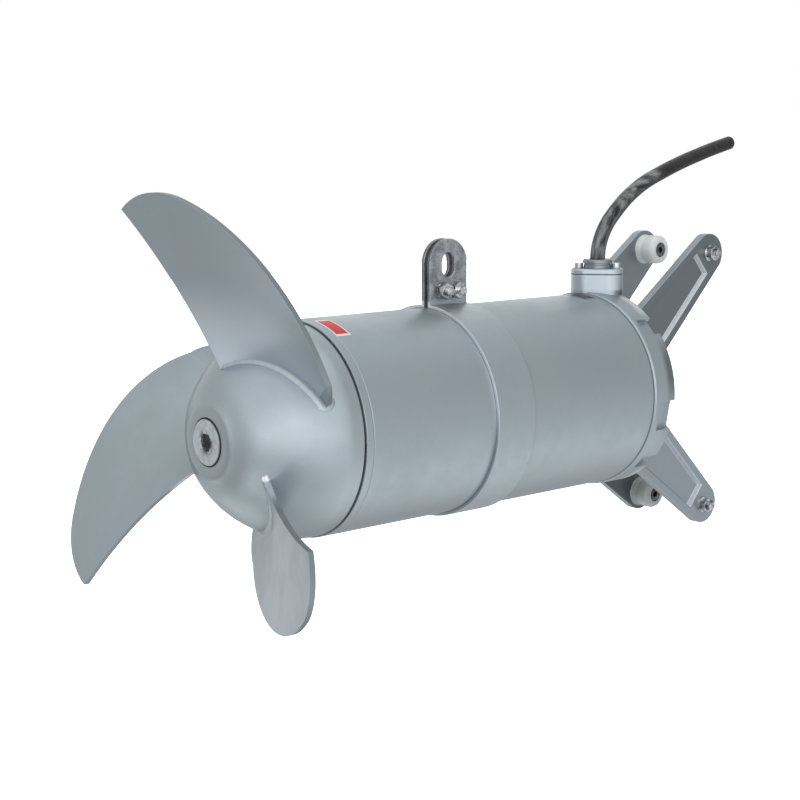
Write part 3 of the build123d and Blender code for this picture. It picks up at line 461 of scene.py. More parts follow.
def strap_finish():
    """The strap's band is sprayed like the casing, with a painted highlight on its rims that grows towards
    the top.

    Its ears stand bare above a ragged paint line, with dark rims.
    """
    material, tree, shader, place = start_material("strap_paint_and_zinc")
    height = parts_of(tree, place)[2]
    patches = patches_at(tree, place, scale=110.0)
    blots = times(tree, specks_at(tree, place, scale=330.0, rarity=0.60), 0.45)
    edges = use(tree, EDGES, Radius=1.2 * MM, Gain=4.0)
    zinc = mix_colors(tree, patches, (0.42, 0.45, 0.48), (0.21, 0.225, 0.235))
    zinc = mix_colors(tree, blots, zinc, (0.06, 0.06, 0.06))
    ear_rims = map_range(tree, squareness(tree, 1), 0.35, 0.75, 0.6, 0.0)
    zinc = mix_colors(tree, ear_rims, zinc, (0.085, 0.075, 0.068))
    sprayed = mix_colors(tree, patches, SILVER, (0.365, 0.420, 0.460))
    # The band's rims get a painted highlight, stronger towards the top.
    band_rims = map_range(tree, squareness(tree, 0), 0.6, 0.9, 0.0, 0.7)
    band_rim_highlight = times(tree, band_rims, map_range(tree, height, -30 * MM, 30 * MM))
    sprayed = mix_colors(tree, band_rim_highlight, sprayed, HIGHLIGHT_SILVER)
    ragged = plus(tree, height, times(tree, noise(tree, place, scale=260.0), 4 * MM))
    bare = map_range(tree, ragged, EAR_FOOT, EAR_FOOT + 2 * MM)
    color = mix_colors(tree, bare, sprayed, zinc)
    # Pale corners: partly wear, partly a painted highlight along the edges.
    color = mix_colors(tree, times(tree, edges.outputs["Mask"], 0.6), color, (0.70, 0.74, 0.78))
    grain = noise(tree, place, scale=1500.0, detail=3.0)
    coat(
        tree, shader, color, map_range(tree, patches, 0.0, 1.0, 0.36, 0.46),
        bump(tree, grain, strength=0.10, distance=0.4 * MM, normal=edges.outputs["Normal"])
    )
    wire(tree, map_range(tree, bare, 0.0, 1.0, PAINT_METALLIC, 0.85), shader.inputs["Metallic"])
    return material


def plug_finish():
    """The nose plug is sprayed with the hub. Grease has run out of its socket, and its rim by the gap and the
    deep end of its socket are painted dark as shade.
    """
    material, tree, shader, place = start_material("plug_grease_and_painted_shade")
    reach = from_axis(tree, place)
    near_socket = map_range(tree, reach, 6 * MM, 13 * MM, 1.0, 0.0)
    grease = times(tree, near_socket, 0.95, specks_at(tree, place, scale=165.0, rarity=0.46))
    # The plug's outer rim by the gap and the deep end of the socket are painted dark as shade; the specks are
    # grease.
    rim = map_range(tree, reach, PLUG_RADIUS - 0.9 * MM, PLUG_RADIUS - 0.4 * MM, 0.0, 0.95)
    x = parts_of(tree, place)[0]
    socket_shade = map_range(tree, x, X_PLUG_FACE + 1 * MM, X_PLUG_FACE + 2.5 * MM, 0.0, 0.8)
    # dark holds both the grease and the painted shade.
    dark = math_node(tree, "MAXIMUM", math_node(tree, "MAXIMUM", grease, socket_shade), rim)
    scratches = patches_at(tree, place, scale=150.0)
    face = mix_colors(tree, scratches, (0.55, 0.61, 0.66), (0.41, 0.465, 0.505))
    edges = use(tree, EDGES, Radius=0.5 * MM, Gain=1.0)
    coat(
        tree, shader, mix_colors(tree, dark, face, (0.02, 0.022, 0.024)),
        map_range(tree, scratches, 0.0, 1.0, 0.30, 0.42),
        bump(tree, scratches, strength=0.15, distance=0.4 * MM, normal=edges.outputs["Normal"])
    )
    wire(tree, map_range(tree, dark, 0.0, 1.0, 0.7, 0.2), shader.inputs["Metallic"])
    return material


def bracket_finish():
    """The bracket is sprayed like the casing. The far arms' bosses are white like their rollers."""
    material = silver_paint(
        "bracket_silver", SILVER, SILVER_SHADE, 0.38, 1.2 * MM, edge_gain=2.2,
        # Painted shade on the arms' flat faces and on the lower boss, and a painted highlight on the recess
        # walls.
        marks=[
            (shaded_arm_faces, (0.016, 0.018, 0.020)), (gland_box, (0.430, 0.487, 0.535)),
            (recess_wall_highlight, (0.72, 0.77, 0.81)), (roller_boss, NYLON_WHITE), (shaded_lower_boss, (0.30, 0.325, 0.32)),
        ],
    )
    tree = material.node_tree
    white = roller_boss(tree, coordinate(tree, "Object"))
    metallic = map_range(tree, white, 0.0, 1.0, PAINT_METALLIC, 0.0)
    wire(tree, metallic, tree.nodes["Principled BSDF"].inputs["Metallic"])
    return material


def smooth_plastic(name, base, shade, rough, edge_radius):
    """Moulded or turned plastic: faint patches, fine turning marks and a soft edge."""
    material, tree, shader, place = start_material(name)
    patches = patches_at(tree, place, scale=45.0)
    edges = use(tree, EDGES, Radius=edge_radius, Gain=1.0)
    grain = noise(tree, place, scale=1100.0, detail=2.0)
    coat(
        tree, shader, mix_colors(tree, patches, base, shade),
        map_range(tree, patches, 0.0, 1.0, rough - 0.05, rough + 0.08),
        bump(tree, grain, strength=0.08, distance=0.5 * MM, normal=edges.outputs["Normal"])
    )
    return material


def dusty_rubber(name, base, dust, dust_amount, rough):
    """Black rubber: grey dust where large and small patches meet, and a fine rough grain."""
    material, tree, shader, place = start_material(name)
    patches = patches_at(tree, place, scale=38.0)
    amount = times(tree, patches, patches_at(tree, place, scale=150.0), dust_amount)
    coat(
        tree, shader, mix_colors(tree, amount, base, dust),
        map_range(tree, patches, 0.0, 1.0, rough - 0.08, rough + 0.12),
        bump(tree, noise(tree, place, scale=1300.0), strength=0.25, distance=0.5 * MM)
    )
    return material


BLADE_PAINT = (SILVER, (0.345, 0.402, 0.432), 0.40, 0.8 * MM)
# The blades' rims: painted shade past the hub, a painted highlight close to the nose.
BLADE_SHADE_AND_HIGHLIGHT = [(blade_rim_shade, (0.055, 0.060, 0.062)), (root_rim_highlight, (0.78, 0.83, 0.87))]

# One material for each slot of the record
MATERIALS = {
    "casing_paint": silver_paint("casing_silver", SILVER, SILVER_SHADE, 0.38, 1.2 * MM, edge_gain=2.6),
    "propeller_paint": silver_paint("propeller_silver", *BLADE_PAINT, marks=BLADE_SHADE_AND_HIGHLIGHT),
    "stainless_steel": bare_metal("stainless", (0.62, 0.63, 0.64), (0.48, 0.49, 0.50), 0.30, 0.6 * MM),
    "galvanised_steel": strap_finish(),
    # Bright zinc with near black patches: partly mottling, partly painted dark reflections.
    "zinc_steel": bare_metal(
        "zinc_mottling_and_painted_reflection", (0.78, 0.80, 0.83), (0.12, 0.125, 0.13), 0.14, 0.6 * MM, patch_scale=150.0, dirt=0.4
    ),
    "bearing_steel": bare_metal("bearing_steel", (0.66, 0.66, 0.67), (0.55, 0.55, 0.56), 0.18, 0.6 * MM),
    "cast_iron": bare_metal(
        "dark_cast_iron", (0.16, 0.16, 0.165), (0.10, 0.10, 0.105), 0.55, 0.8 * MM,
        patch_scale=30.0, dirt=0.4, metallic=0.7
    ),
    "laminations": bare_metal("stacked_steel", (0.30, 0.30, 0.32), (0.22, 0.22, 0.24), 0.40, 0.4 * MM),
    "cage_aluminium": bare_metal("cast_aluminium", (0.70, 0.70, 0.72), (0.58, 0.58, 0.60), 0.40, 0.8 * MM),
    "winding_copper": bare_metal("varnished_copper", (0.60, 0.26, 0.10), (0.45, 0.17, 0.06), 0.35, 0.8 * MM),
    "seal_carbide": bare_metal("dark_carbide", (0.06, 0.06, 0.065), (0.04, 0.04, 0.045), 0.22, 0.4 * MM),
    "black_rubber": dusty_rubber("black_rubber", (0.012, 0.012, 0.013), (0.10, 0.10, 0.10), 0.6, 0.55),
    "terminal_plastic": smooth_plastic(
        "terminal_plastic", (0.62, 0.60, 0.52), (0.55, 0.53, 0.46), 0.45, 0.5 * MM
    ),
    "roller_nylon": smooth_plastic("roller_nylon", NYLON_WHITE, (0.62, 0.66, 0.65), 0.38, 1.0 * MM),
}

# Pieces whose finish differs from the rest of their slot
OWN_FINISH = {
    # The first blade's foot is made paler as a painted reflection of the hub.
    "propeller_blade_1": silver_paint(
        "first_blade_silver_painted_reflection", *BLADE_PAINT, marks=[(blade_root_reflection, (0.56, 0.63, 0.69)), *BLADE_SHADE_AND_HIGHLIGHT]
    ),
    # The hub's wall round the plug is painted black as shade in the gap.
    "propeller_hub": silver_paint(
        "hub_silver", SILVER, (0.350, 0.408, 0.438), 0.34, 0.8 * MM, marks=[(plug_gap_shade, (0.010, 0.011, 0.012))]
    ),
    "nose_plug": plug_finish(),
    "rear_bracket": bracket_finish(),
    "gland_cover": silver_paint(
        "gland_silver", (0.450, 0.515, 0.570), (0.420, 0.485, 0.540), 0.36, 1.0 * MM, edge_gain=3.0
    ),
    "gland_nut": silver_paint(
        "nut_silver", (0.27, 0.30, 0.325), (0.22, 0.25, 0.27), 0.36, 0.8 * MM, edge_gain=2.4
    ),
    # The far lower roller is made darker as painted shade.
    "guide_roller_far_lower": smooth_plastic(
        "nylon_painted_shade", (0.40, 0.43, 0.425), (0.30, 0.33, 0.325), 0.42, 1.0 * MM
    ),
    "roller_bolts": bare_metal("blackened_steel", (0.20, 0.205, 0.21), (0.07, 0.07, 0.072), 0.26, 0.5 * MM),
}
for part in frame["record"]["subparts"]:
    mesh = frame["nodes"][part["node"]].data
    mesh.materials.clear()
    mesh.materials.append(OWN_FINISH.get(part["node"], MATERIALS[part["material_slot"]]))


# Mesh helpers

MERGE_DISTANCE = 1e-7


def corners_of(grid):
    """The four corners of each cell of a grid, in order round the cell."""
    return np.stack([grid[:-1, :-1], grid[1:, :-1], grid[1:, 1:], grid[:-1, 1:]], axis=2)


def grid_piece(name, points, material, body, closed_u=False, closed_v=False, flat=()):
    """A surface from a grid of points (rows u, columns v), with quads between neighbours and UVs from 0 to 1.

    Rows that end in one point are merged there. flat lists the places of faces that aren't shaded smooth.
    """
    index = np.arange(points.shape[0] * points.shape[1]).reshape(points.shape[:2])
    if closed_u:
        index = np.vstack([index, index[:1]])
    if closed_v:
        index = np.hstack([index, index[:, :1]])
    mesh = bpy.data.meshes.new(name)
    mesh.from_pydata(points.reshape(-1, 3).tolist(), [], corners_of(index).reshape(-1, 4).tolist())
    smooth = np.ones((index.shape[0] - 1, index.shape[1] - 1), bool)
    for place in flat:
        smooth[place] = False
    mesh.polygons.foreach_set("use_smooth", smooth.ravel())
    u, v = np.meshgrid(*(np.linspace(0, 1, count) for count in index.shape), indexing="ij")
    spots = corners_of(np.stack([u, v], axis=-1)).astype(np.float32)
    mesh.uv_layers.new(name="UVMap").data.foreach_set("uv", spots.ravel())
    mesh.materials.append(material)
    merged = bmesh.new()
    merged.from_mesh(mesh)
    bmesh.ops.remove_doubles(merged, verts=merged.verts, dist=MERGE_DISTANCE)
    merged.to_mesh(mesh)
    merged.free()
    mesh.update()
    piece = bpy.data.objects.new(name, mesh)
    bpy.context.scene.collection.objects.link(piece)
    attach(piece, body)


def unit(vectors):
    """The vectors at length 1."""
    return vectors / np.linalg.norm(vectors, axis=-1, keepdims=True)


def turned_about_axis(points, turn):
    """Points turned about the propeller axis by degrees, from Y towards Z."""
    c, s = np.cos(radians(turn)), np.sin(radians(turn))
    return points @ np.array([[1, 0, 0], [0, c, s], [0, -s, c]])


# Camera at the photograph's place: which way its right side, its top and its back point, where it stands in
# metres, and its lens, from a focal length in pixels of a picture 800 pixels wide

SENSOR_WIDTH = 36.0
PICTURE_PIXELS = 800.0
FOCAL_PIXELS = 1614.1065
CAMERA_RIGHT = (0.76287465, -0.64653474, -0.00388628)
CAMERA_UP = (0.10506668, 0.11803737, 0.98743515)
CAMERA_BACK = (-0.6379524, -0.75369756, 0.15797698)
CAMERA_PLACE = (-1.21548, -1.07176, 0.23752)

camera_data = bpy.data.cameras.new("camera")
camera_data.sensor_width = SENSOR_WIDTH
camera_data.lens = SENSOR_WIDTH * FOCAL_PIXELS / PICTURE_PIXELS
camera_data.clip_start = 0.05
camera_data.clip_end = 50.0
camera = bpy.data.objects.new("camera", camera_data)
bpy.context.scene.collection.objects.link(camera)
camera.matrix_world = Matrix([*zip(CAMERA_RIGHT, CAMERA_UP, CAMERA_BACK, CAMERA_PLACE), (0, 0, 0, 1)])
bpy.context.scene.camera = camera


# Power cable: a smooth line in place of the solid, from the gland to the cut end, in millimetres

CABLE_ROUTE = [
    (-57.0, 0.0, 115.8), (-57.0, 0.0, 131.1), (-52.4, 0.0, 145.8), (-43.1, 0.3, 159.5),
    (-28.3, 3.0, 170.3), (-9.6, 10.6, 178.4), (13.3, 21.0, 185.6), (41.8, 29.3, 195.7),
    (76.0, 38.3, 204.3), (118.0, 47.9, 214.2), (161.0, 56.7, 223.0), (198.4, 63.6, 230.2),
    (225.9, 68.5, 234.9),
]
CABLE_RADIUS = 7.2 * MM
X_CABLE_END = CABLE_ROUTE[-1][0] * MM

# The middle of the cable's bend, the length that one radian of it takes in the streaks,
# and the side towards the lights, on which the dust streaks are painted stronger as a painted sheen
X_BEND = 50 * MM
Z_BEND = 100 * MM
STREAK_LENGTH = 28 * MM
DUST_AND_SHEEN_SIDE = (-0.62, -0.42, 0.66)


def cable_rubber():
    """Worn black sheath: dust in long soft streaks, stronger on its upper and front side as painted sheen,
    satin skin, pale cut end.

    The streaks follow the bend: noise of the angle round the bend's middle, the distance from it, and y.
    """
    material, tree, shader, place = start_material("cable_rubber")
    x, y, z = parts_of(tree, place)
    over = minus(tree, x, X_BEND)
    up = minus(tree, z, Z_BEND)
    turn = times(tree, math_node(tree, "ARCTAN2", up, over), STREAK_LENGTH)
    along = vector_of(tree, turn, long_side(tree, over, up), y)
    streaks = map_range(tree, noise(tree, along, scale=165.0, detail=3.0), 0.34, 0.72)
    streak_fade = map_range(tree, x, 58 * MM, 76 * MM, 1.0, 0.08)
    # Dust streaks are painted stronger on the side towards the lights, as a painted sheen.
    toward = dot(tree, coordinate(tree, "Normal"), DUST_AND_SHEEN_SIDE)
    dust_and_sheen = times(tree, streaks, streak_fade, map_range(tree, toward, -0.25, 0.65, 0.15, 1.0))
    specks = times(tree, specks_at(tree, place, scale=300.0, rarity=0.58), 0.07)
    cut = map_range(tree, x, X_CABLE_END - 0.8 * MM, X_CABLE_END + 0.4 * MM, 0.0, 0.5)
    color = mix_colors(tree, dust_and_sheen, (0.011, 0.011, 0.012), (0.222, 0.226, 0.230))
    color = mix_colors(tree, specks, color, (0.22, 0.215, 0.21))
    color = mix_colors(tree, cut, color, (0.20, 0.20, 0.20))
    coat(
        tree, shader, color, map_range(tree, streaks, 0.0, 1.0, 0.42, 0.55),
        bump(tree, noise(tree, place, scale=1300.0), strength=0.22, distance=0.5 * MM)
    )
    shader.inputs["Specular IOR Level"].default_value = 0.24
    return material


cable_curve = bpy.data.curves.new("power_cable_sheath", "CURVE")
cable_curve.dimensions = "3D"
cable_curve.bevel_depth = CABLE_RADIUS
cable_curve.bevel_resolution = 8
cable_curve.use_fill_caps = True
cable_curve.resolution_u = 16
line = cable_curve.splines.new("NURBS")
line.points.add(len(CABLE_ROUTE) - 1)
for spot, place in zip(line.points, CABLE_ROUTE):
    spot.co = (*(value * MM for value in place), 1.0)
line.order_u = 3
line.use_endpoint_u = True
cable = bpy.data.objects.new("power_cable_sheath", cable_curve)
bpy.context.scene.collection.objects.link(cable)
cable_curve.materials.append(cable_rubber())
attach(cable, "housing")
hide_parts("power_cable")


# Weld fillets, heels and a weld bead where the blades stand on the hub

# The fillets: where they start and how far short of the heel's end they stop, in degrees, their width on the
# hub and their height on the blade, the share of these at the front end and how much the share grows to the
# rear, the ripple's height and its share of the width, the rows along each face and round each end, and the
# columns of their section
WELD_START = 87.4
WELD_STOP = 2.0
WELD_WIDTH = 4.6 * MM
WELD_HEIGHT = 3.6 * MM
WELD_FRONT_SHARE = 0.55
WELD_GROWTH = 0.85
WELD_RIPPLE = 0.03 * MM
WELD_FOOT_RIPPLE = 0.02
WELD_ROWS = 150
WELD_END_ROWS = 12
WELD_COLUMNS = 12

# How deep a fillet reaches into the blade and into the hub, and its hidden corner below the hub's skin
WELD_IN_BLADE = 0.2 * MM
WELD_IN_HUB = 0.3 * MM
WELD_CORNER = 0.6 * MM

# The heels: their lowest and highest radius, the degrees at which the plate's edge stands, how far inside it
# they start, how far each of the three reaches past it at the hub, how far they lie below the plate's skin,
# and the rows and columns of each side
HEEL_FOOT = 85.0 * MM
HEEL_TOP = 111.2 * MM
HEEL_ANGLE = 152.3
HEEL_OVERLAP = 1.5
HEEL_REACH = (5.5, 19.7, 16.7)
HEEL_INSET = 0.02 * MM
HEEL_ROWS = 26
HEEL_COLUMNS = 16

# The bead: its place in degrees, its radius, and its rows and columns
BEAD_ANGLE = 84.0
BEAD_RADIUS = 3.1 * MM
BEAD_ROWS = 14
BEAD_COLUMNS = 24

WELD_PAINT = silver_paint(
    "weld_silver", (0.395, 0.450, 0.490), (0.365, 0.420, 0.455), 0.38, 1.0 * MM, edge_gain=0.9
)
# The bead is near white, a painted highlight on the weld metal.
WELD_BEAD_HIGHLIGHT = bare_metal(
    "weld_bead_painted_highlight", (0.93, 0.95, 0.97), (0.74, 0.77, 0.80), 0.16, 0.4 * MM,
    patch_scale=150.0, dirt=0.1, metallic=0.25
)


def hub_offset(points):
    """How far outside the hub's rounded nose a point is, and the direction away from it.

    The nose's outline is ((x_wide - x) / length)^n + ((r - r_nose) / (r_hub - r_nose))^n = 1. The left side
    minus 1, divided by its slope, is the distance.
    """
    x = points[..., 0]
    r = np.hypot(points[..., 1], points[..., 2])
    along = np.clip((X_HUB_WIDE - x) / NOSE_LENGTH, 1e-6, None)
    across = np.clip((r - NOSE_RADIUS) / (HUB_RADIUS - NOSE_RADIUS), 1e-6, None)
    value = along**HUB_POWER + across**HUB_POWER - 1
    slope_x = -HUB_POWER * along ** (HUB_POWER - 1) / NOSE_LENGTH
    slope_r = HUB_POWER * across ** (HUB_POWER - 1) / (HUB_RADIUS - NOSE_RADIUS)
    steep = np.hypot(slope_x, slope_r)
    radial = np.stack([np.zeros_like(x), points[..., 1] / r, points[..., 2] / r], axis=-1)
    normal = radial * (slope_r / steep)[..., None]
    normal[..., 0] = slope_x / steep
    return value / steep, normal


def blade_place(radius, angle):
    """A point of the blade's middle surface: a screw that also leans forward with the radius."""
    x = X_STATION + BLADE_LEAD * (angle - pi / 2) / (2 * pi) - BLADE_RAKE * (radius - STATION_RADIUS)
    return np.stack([x, radius * np.cos(angle), radius * np.sin(angle)], axis=-1)


def root_radius(angle):
    """Radius at which the blade's middle surface meets the hub, found by halving its range at each angle."""
    inner = np.full_like(angle, NOSE_RADIUS)
    outer = np.full_like(angle, HUB_RADIUS + 5 * MM)
    for _ in range(40):
        middle = (inner + outer) / 2
        outside = hub_offset(blade_place(middle, angle))[0] > 0
        outer = np.where(outside, middle, outer)
        inner = np.where(outside, inner, middle)
    return inner


def weld_fillet(name, turn, stop):
    """A hollow fillet that runs once round a blade's root, up to an angle in degrees.

    The section is a curve from the hub (width w away from the plate) to the plate (height h above the hub),
    with its control point in the corner: P = root + a w (1 - t)^2 + b h t^2. It grows from the front end of
    the root to the rear. Faint beads swell its middle and its foot: they are sines of the place along the
    seam, with lengths that never meet.
    """
    angles = np.linspace(radians(WELD_START), radians(stop), WELD_ROWS)
    radius = root_radius(angles)
    root = blade_place(radius, angles)
    tangent = unit(np.gradient(root, axis=0))
    rise = unit(blade_place(radius + MM, angles) - root)
    sweep = unit(blade_place(radius, angles + 0.01) - blade_place(radius, angles - 0.01))
    face = unit(np.cross(rise, sweep))

    # Once round: along one face, round the rear end, back along the other face, round the front end
    rows = np.arange(WELD_ROWS)
    bend = np.linspace(0, pi, WELD_END_ROWS + 2)[1:-1]
    order = np.concatenate([rows, np.full(WELD_END_ROWS, rows[-1]), rows[::-1], np.zeros(WELD_END_ROWS, int)])
    facing = np.concatenate([np.zeros(WELD_ROWS), bend, np.full(WELD_ROWS, pi), pi + bend])[:, None]
    base = root[order]
    away = np.cos(facing) * face[order] + np.sin(facing) * tangent[order]
    hub_normal = hub_offset(base)[1]
    lean = np.sum(away * hub_normal, axis=-1, keepdims=True)
    along_hub = unit(away - lean * hub_normal)[:, None]
    up_plate = unit(hub_normal - lean * away)[:, None]

    t = np.linspace(0, 1, WELD_COLUMNS)[None, :, None]
    phase = np.arange(len(order))[:, None, None] + turn
    beads = np.sin(0.63 * phase) + 0.6 * np.sin(0.27 * phase + 1.0) + 0.5 * np.sin(1.37 * phase + 2.0)
    grown = WELD_FRONT_SHARE + WELD_GROWTH * (order / rows[-1])[:, None, None]
    foot = WELD_WIDTH * grown * (1 + WELD_FOOT_RIPPLE * beads)
    swell = WELD_RIPPLE * beads * (4 * t * (1 - t))
    points = (
        (base + away * (BLADE_THICKNESS / 2 - WELD_IN_BLADE))[:, None]
        + along_hub * (foot * (1 - t) ** 2)
        + up_plate * (WELD_HEIGHT * grown * t**2)
        + (along_hub + up_plate) * swell
    )
    gap, normal = hub_offset(points)
    points = points - normal * (np.maximum(gap + WELD_IN_HUB, 0) * (1 - t[..., 0]) ** 6)[..., None]
    corner = (base + away * BLADE_THICKNESS / 4 - WELD_CORNER * hub_normal)[:, None]
    turned = turned_about_axis(np.concatenate([points, corner], axis=1), turn)[:, ::-1]
    hidden = (slice(None), slice(0, 2))
    grid_piece(
        name, turned, WELD_PAINT, "rotor", closed_u=True, closed_v=True, flat=[hidden]
    )


def blade_heel(name, turn, reach):
    """The small corner between the hub and a blade's rear edge.

    It lies on the blade's own surface. Each row of one radius runs from inside the plate to
    reach * (1 - s)^0.8 degrees past the plate's edge, where s goes from 0 at the hub to 1 at the corner of
    the edge.
    """
    radius = np.linspace(HEEL_FOOT, HEEL_TOP, HEEL_ROWS)[:, None]
    share = np.clip((radius - HUB_RADIUS) / (HEEL_TOP - HUB_RADIUS), 0, 1)
    across = np.linspace(0, 1, HEEL_COLUMNS)[None, :]
    span = reach * (1 - share) ** 0.8 + HEEL_OVERLAP
    angle = np.radians(HEEL_ANGLE - HEEL_OVERLAP + across * span)
    middle = blade_place(radius + 0 * angle, angle)
    lead = BLADE_LEAD / (2 * pi) / radius
    side_y, side_z = np.cos(angle), np.sin(angle)
    slope = (np.ones_like(angle), BLADE_RAKE * side_y + lead * side_z, BLADE_RAKE * side_z - lead * side_y)
    upright = unit(np.stack(slope, axis=-1))
    half = BLADE_THICKNESS / 2 - HEEL_INSET
    loop = np.concatenate([middle - half * upright, (middle + half * upright)[:, ::-1]], axis=1)
    ends = [np.broadcast_to(loop[row].mean(axis=0), loop[:1].shape) for row in (0, -1)]
    points = turned_about_axis(np.concatenate([ends[0], loop, ends[1]]), turn)[:, ::-1]
    rims = [(slice(None), [HEEL_COLUMNS - 1, 2 * HEEL_COLUMNS - 1]), ([0, -1], slice(None))]
    paint = MATERIALS["propeller_paint"]
    grid_piece(name, points, paint, "rotor", closed_v=True, flat=rims)


def weld_bead(name, turn):
    """A blob of weld metal at the front end of a root: a ball whose radius swells by sines of its angles."""
    rows, columns = np.linspace(0, pi, BEAD_ROWS), np.linspace(0, 2 * pi, BEAD_COLUMNS, endpoint=False)
    down, about = np.meshgrid(rows, columns, indexing="ij")
    swell = 0.14 * np.sin(3 * about + 2 * down) * np.sin(down) + 0.10 * np.sin(2 * down + 1)
    ball = np.stack([np.sin(down) * np.cos(about), np.sin(down) * np.sin(about), np.cos(down)], axis=-1)
    angle = np.array(radians(BEAD_ANGLE))
    middle = blade_place(root_radius(angle), angle)
    points = turned_about_axis(middle + BEAD_RADIUS * (1 + swell)[..., None] * ball, turn)
    grid_piece(name, points, WELD_BEAD_HIGHLIGHT, "rotor", closed_v=True)


for number, reach in enumerate(HEEL_REACH):
    blade_heel(f"blade_heel_{number + 1}", BLADE_TURN * number, reach)
    weld_fillet(f"blade_weld_{number + 1}", BLADE_TURN * number, HEEL_ANGLE + reach - WELD_STOP)
weld_bead("weld_bead", BLADE_TURN)


# Plain stickers on the casing: how high the film lies in its middle, how far its ends drop, and its rows and
# columns of points

FILM_LIFT = 0.12 * MM
FILM_DROP = 0.10 * MM
FILM_ROWS = 12
FILM_COLUMNS = 30


def label_material(name, field, border):
    """A printed film: a plain field with a pale border, from the distance to the sheet's edge in UV."""
    material, tree, shader, place = start_material(name)
    u, v = parts_of(tree, coordinate(tree, "UV"))[:2]
    sides = [math_node(tree, "ABSOLUTE", minus(tree, side, 0.5)) for side in (u, v)]
    worn = noise(tree, place, scale=400.0)
    reach = plus(tree, math_node(tree, "MAXIMUM", *sides), times(tree, worn, 0.02))
    color = mix_colors(tree, map_range(tree, reach, 0.41, 0.43), field, border)
    coat(tree, shader, color, 0.42, bump(tree, worn, strength=0.05, distance=0.3 * MM))
    shader.inputs["Specular IOR Level"].default_value = 0.25
    return material


def sticker(name, x_low, x_high, low, high, material):
    """A film wrapped on the casing between two places and two angles in degrees.

    x and angle run evenly, and the radius is the casing's plus lift - drop * c^8, where c goes from 0 in the
    middle of the film's length to 1 at its ends.
    """
    rows, columns = np.linspace(x_low, x_high, FILM_ROWS), np.radians(np.linspace(low, high, FILM_COLUMNS))
    x, angle = np.meshgrid(rows, columns, indexing="ij")
    end = abs(2 * x - x_low - x_high) / (x_high - x_low)
    radius = CASING_RADIUS + FILM_LIFT - FILM_DROP * end**8
    points = np.stack([x, radius * np.cos(angle), radius * np.sin(angle)], axis=-1)
    grid_piece(name, points[:, ::-1], material, "housing")


sticker("front_sticker", X_CASING_FRONT + 1.5 * MM, X_CASING_FRONT + 16.5 * MM, 97.0, 118.0,
        label_material("red_label", (0.55, 0.02, 0.02), (0.72, 0.70, 0.68)))
sticker("rear_sticker", X_CASING_REAR - 22.5 * MM, X_CASING_REAR - 4.5 * MM, 89.0, 104.0,
        label_material("dark_label", (0.045, 0.020, 0.022), (0.20, 0.17, 0.168)))


# Floor, light and surroundings

FLOOR_HEIGHT = -0.75
FLOOR_REACH = 9.0

# Broad soft lights: name, compass angle and height angle in degrees, sharpness, strength
SOFT_LIGHTS = [
    ("front_softbox", -103.0, 9.0, 3.4, 1.35),
    ("front_spot", -137.0, 7.0, 18.1, 1.23),
    ("left_fill", -175.0, 16.0, 7.6, 0.41),
    ("left_ceiling", 151.0, 50.0, 2.0, 0.69),
    ("backdrop_left", 99.0, -9.0, 10.2, 0.73),
    ("backdrop_low", 66.0, -10.0, 6.5, 0.45),
    ("backdrop_right", 42.0, 18.0, 7.9, 1.02),
    ("overhead_softbox", -36.0, 81.0, 5.5, 0.84),
    ("table_bounce", -32.0, -52.0, 4.2, 1.05),
    ("table_left", -170.0, -53.0, 12.2, 1.00),
    ("table_rear", 102.0, -53.0, 18.2, 1.22),
]
ROOM_LIGHT = 0.076


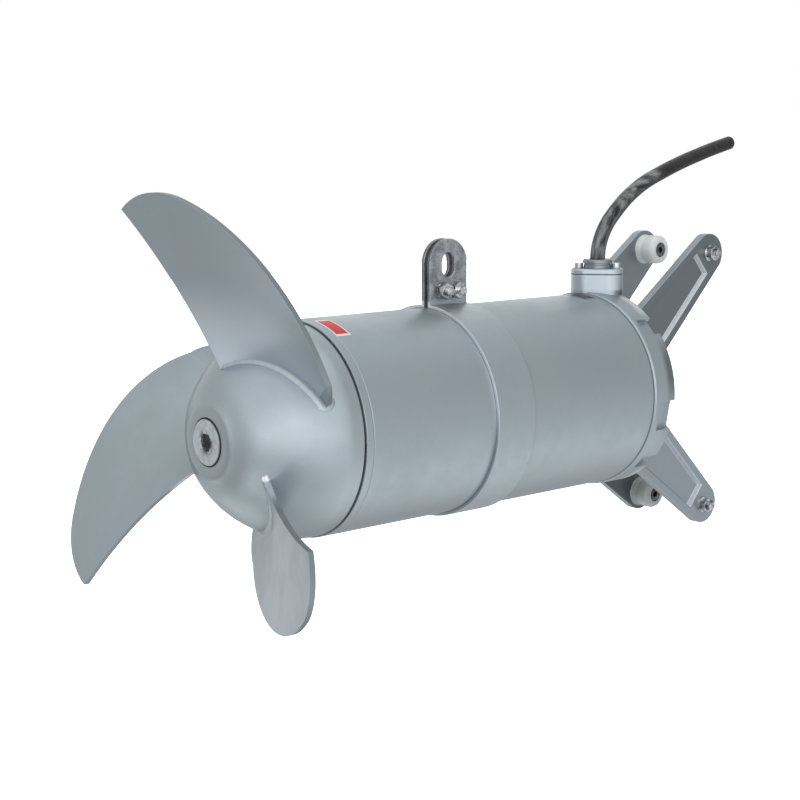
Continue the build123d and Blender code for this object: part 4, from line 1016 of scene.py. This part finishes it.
def plain_floor():
    """A wide flat sheet below the mixer. It is white to the camera and clear from below."""
    low, high = -FLOOR_REACH, FLOOR_REACH
    corners = [(x, y, FLOOR_HEIGHT) for x, y in ((low, low), (high, low), (high, high), (low, high))]
    mesh = bpy.data.meshes.new("floor")
    mesh.from_pydata(corners, [], [(0, 1, 2, 3)])
    floor = bpy.data.objects.new("floor", mesh)
    bpy.context.scene.collection.objects.link(floor)
    material, tree, shader, place = start_material("floor_white")
    pale = mix_colors(tree, noise(tree, place, scale=1.5), (0.92, 0.92, 0.92), (0.94, 0.94, 0.94))
    wire(tree, pale, shader.inputs["Base Color"])
    shader.inputs["Roughness"].default_value = 0.8
    shader.inputs["Emission Strength"].default_value = 1.0
    shader.inputs["Emission Color"].default_value = (1.0, 1.0, 1.0, 1.0)
    clear = node(tree, "ShaderNodeBsdfTransparent")
    sides = node(tree, "ShaderNodeMixShader")
    wire(tree, node(tree, "ShaderNodeNewGeometry").outputs["Backfacing"], sides.inputs[0])
    wire(tree, shader.outputs[0], sides.inputs[1])
    wire(tree, clear.outputs[0], sides.inputs[2])
    wire(tree, sides.outputs[0], tree.nodes["Material Output"].inputs["Surface"])
    mesh.materials.append(material)
    floor.visible_diffuse = False
    floor.visible_glossy = False
    floor.visible_shadow = False


def compass(azimuth, elevation):
    """Unit vector of a compass angle round Z and a height angle, both in degrees."""
    flat = cos(radians(elevation))
    return (flat * cos(radians(azimuth)), flat * sin(radians(azimuth)), sin(radians(elevation)))


def studio_surroundings():
    """White to the camera, with soft light from all round.

    As light, each direction has the room's light plus strength * exp(sharpness * (cos - 1)) for each soft
    light, where cos is the cosine of the angle between the two.
    """
    world = bpy.data.worlds.new("studio")
    bpy.context.scene.world = world
    world.use_nodes = True
    tree = world.node_tree
    sight = coordinate(tree, "Generated")
    total = ROOM_LIGHT
    for name, azimuth, elevation, sharpness, strength in SOFT_LIGHTS:
        toward = dot(tree, sight, compass(azimuth, elevation))
        toward.node.label = name
        fall = times(tree, minus(tree, toward, 1.0), sharpness)
        total = plus(tree, times(tree, math_node(tree, "EXPONENT", fall), strength), total)
    seen = node(tree, "ShaderNodeMix", data_type="FLOAT")
    wire(tree, node(tree, "ShaderNodeLightPath").outputs["Is Camera Ray"], seen.inputs["Factor"])
    wire(tree, total, seen.inputs["A"])
    seen.inputs["B"].default_value = 1.0
    backdrop = tree.nodes["Background"]
    backdrop.inputs["Color"].default_value = (1.0, 1.0, 1.0, 1.0)
    wire(tree, seen.outputs["Result"], backdrop.inputs["Strength"])


plain_floor()
studio_surroundings()

bpy.context.scene.view_settings.view_transform = "Standard"
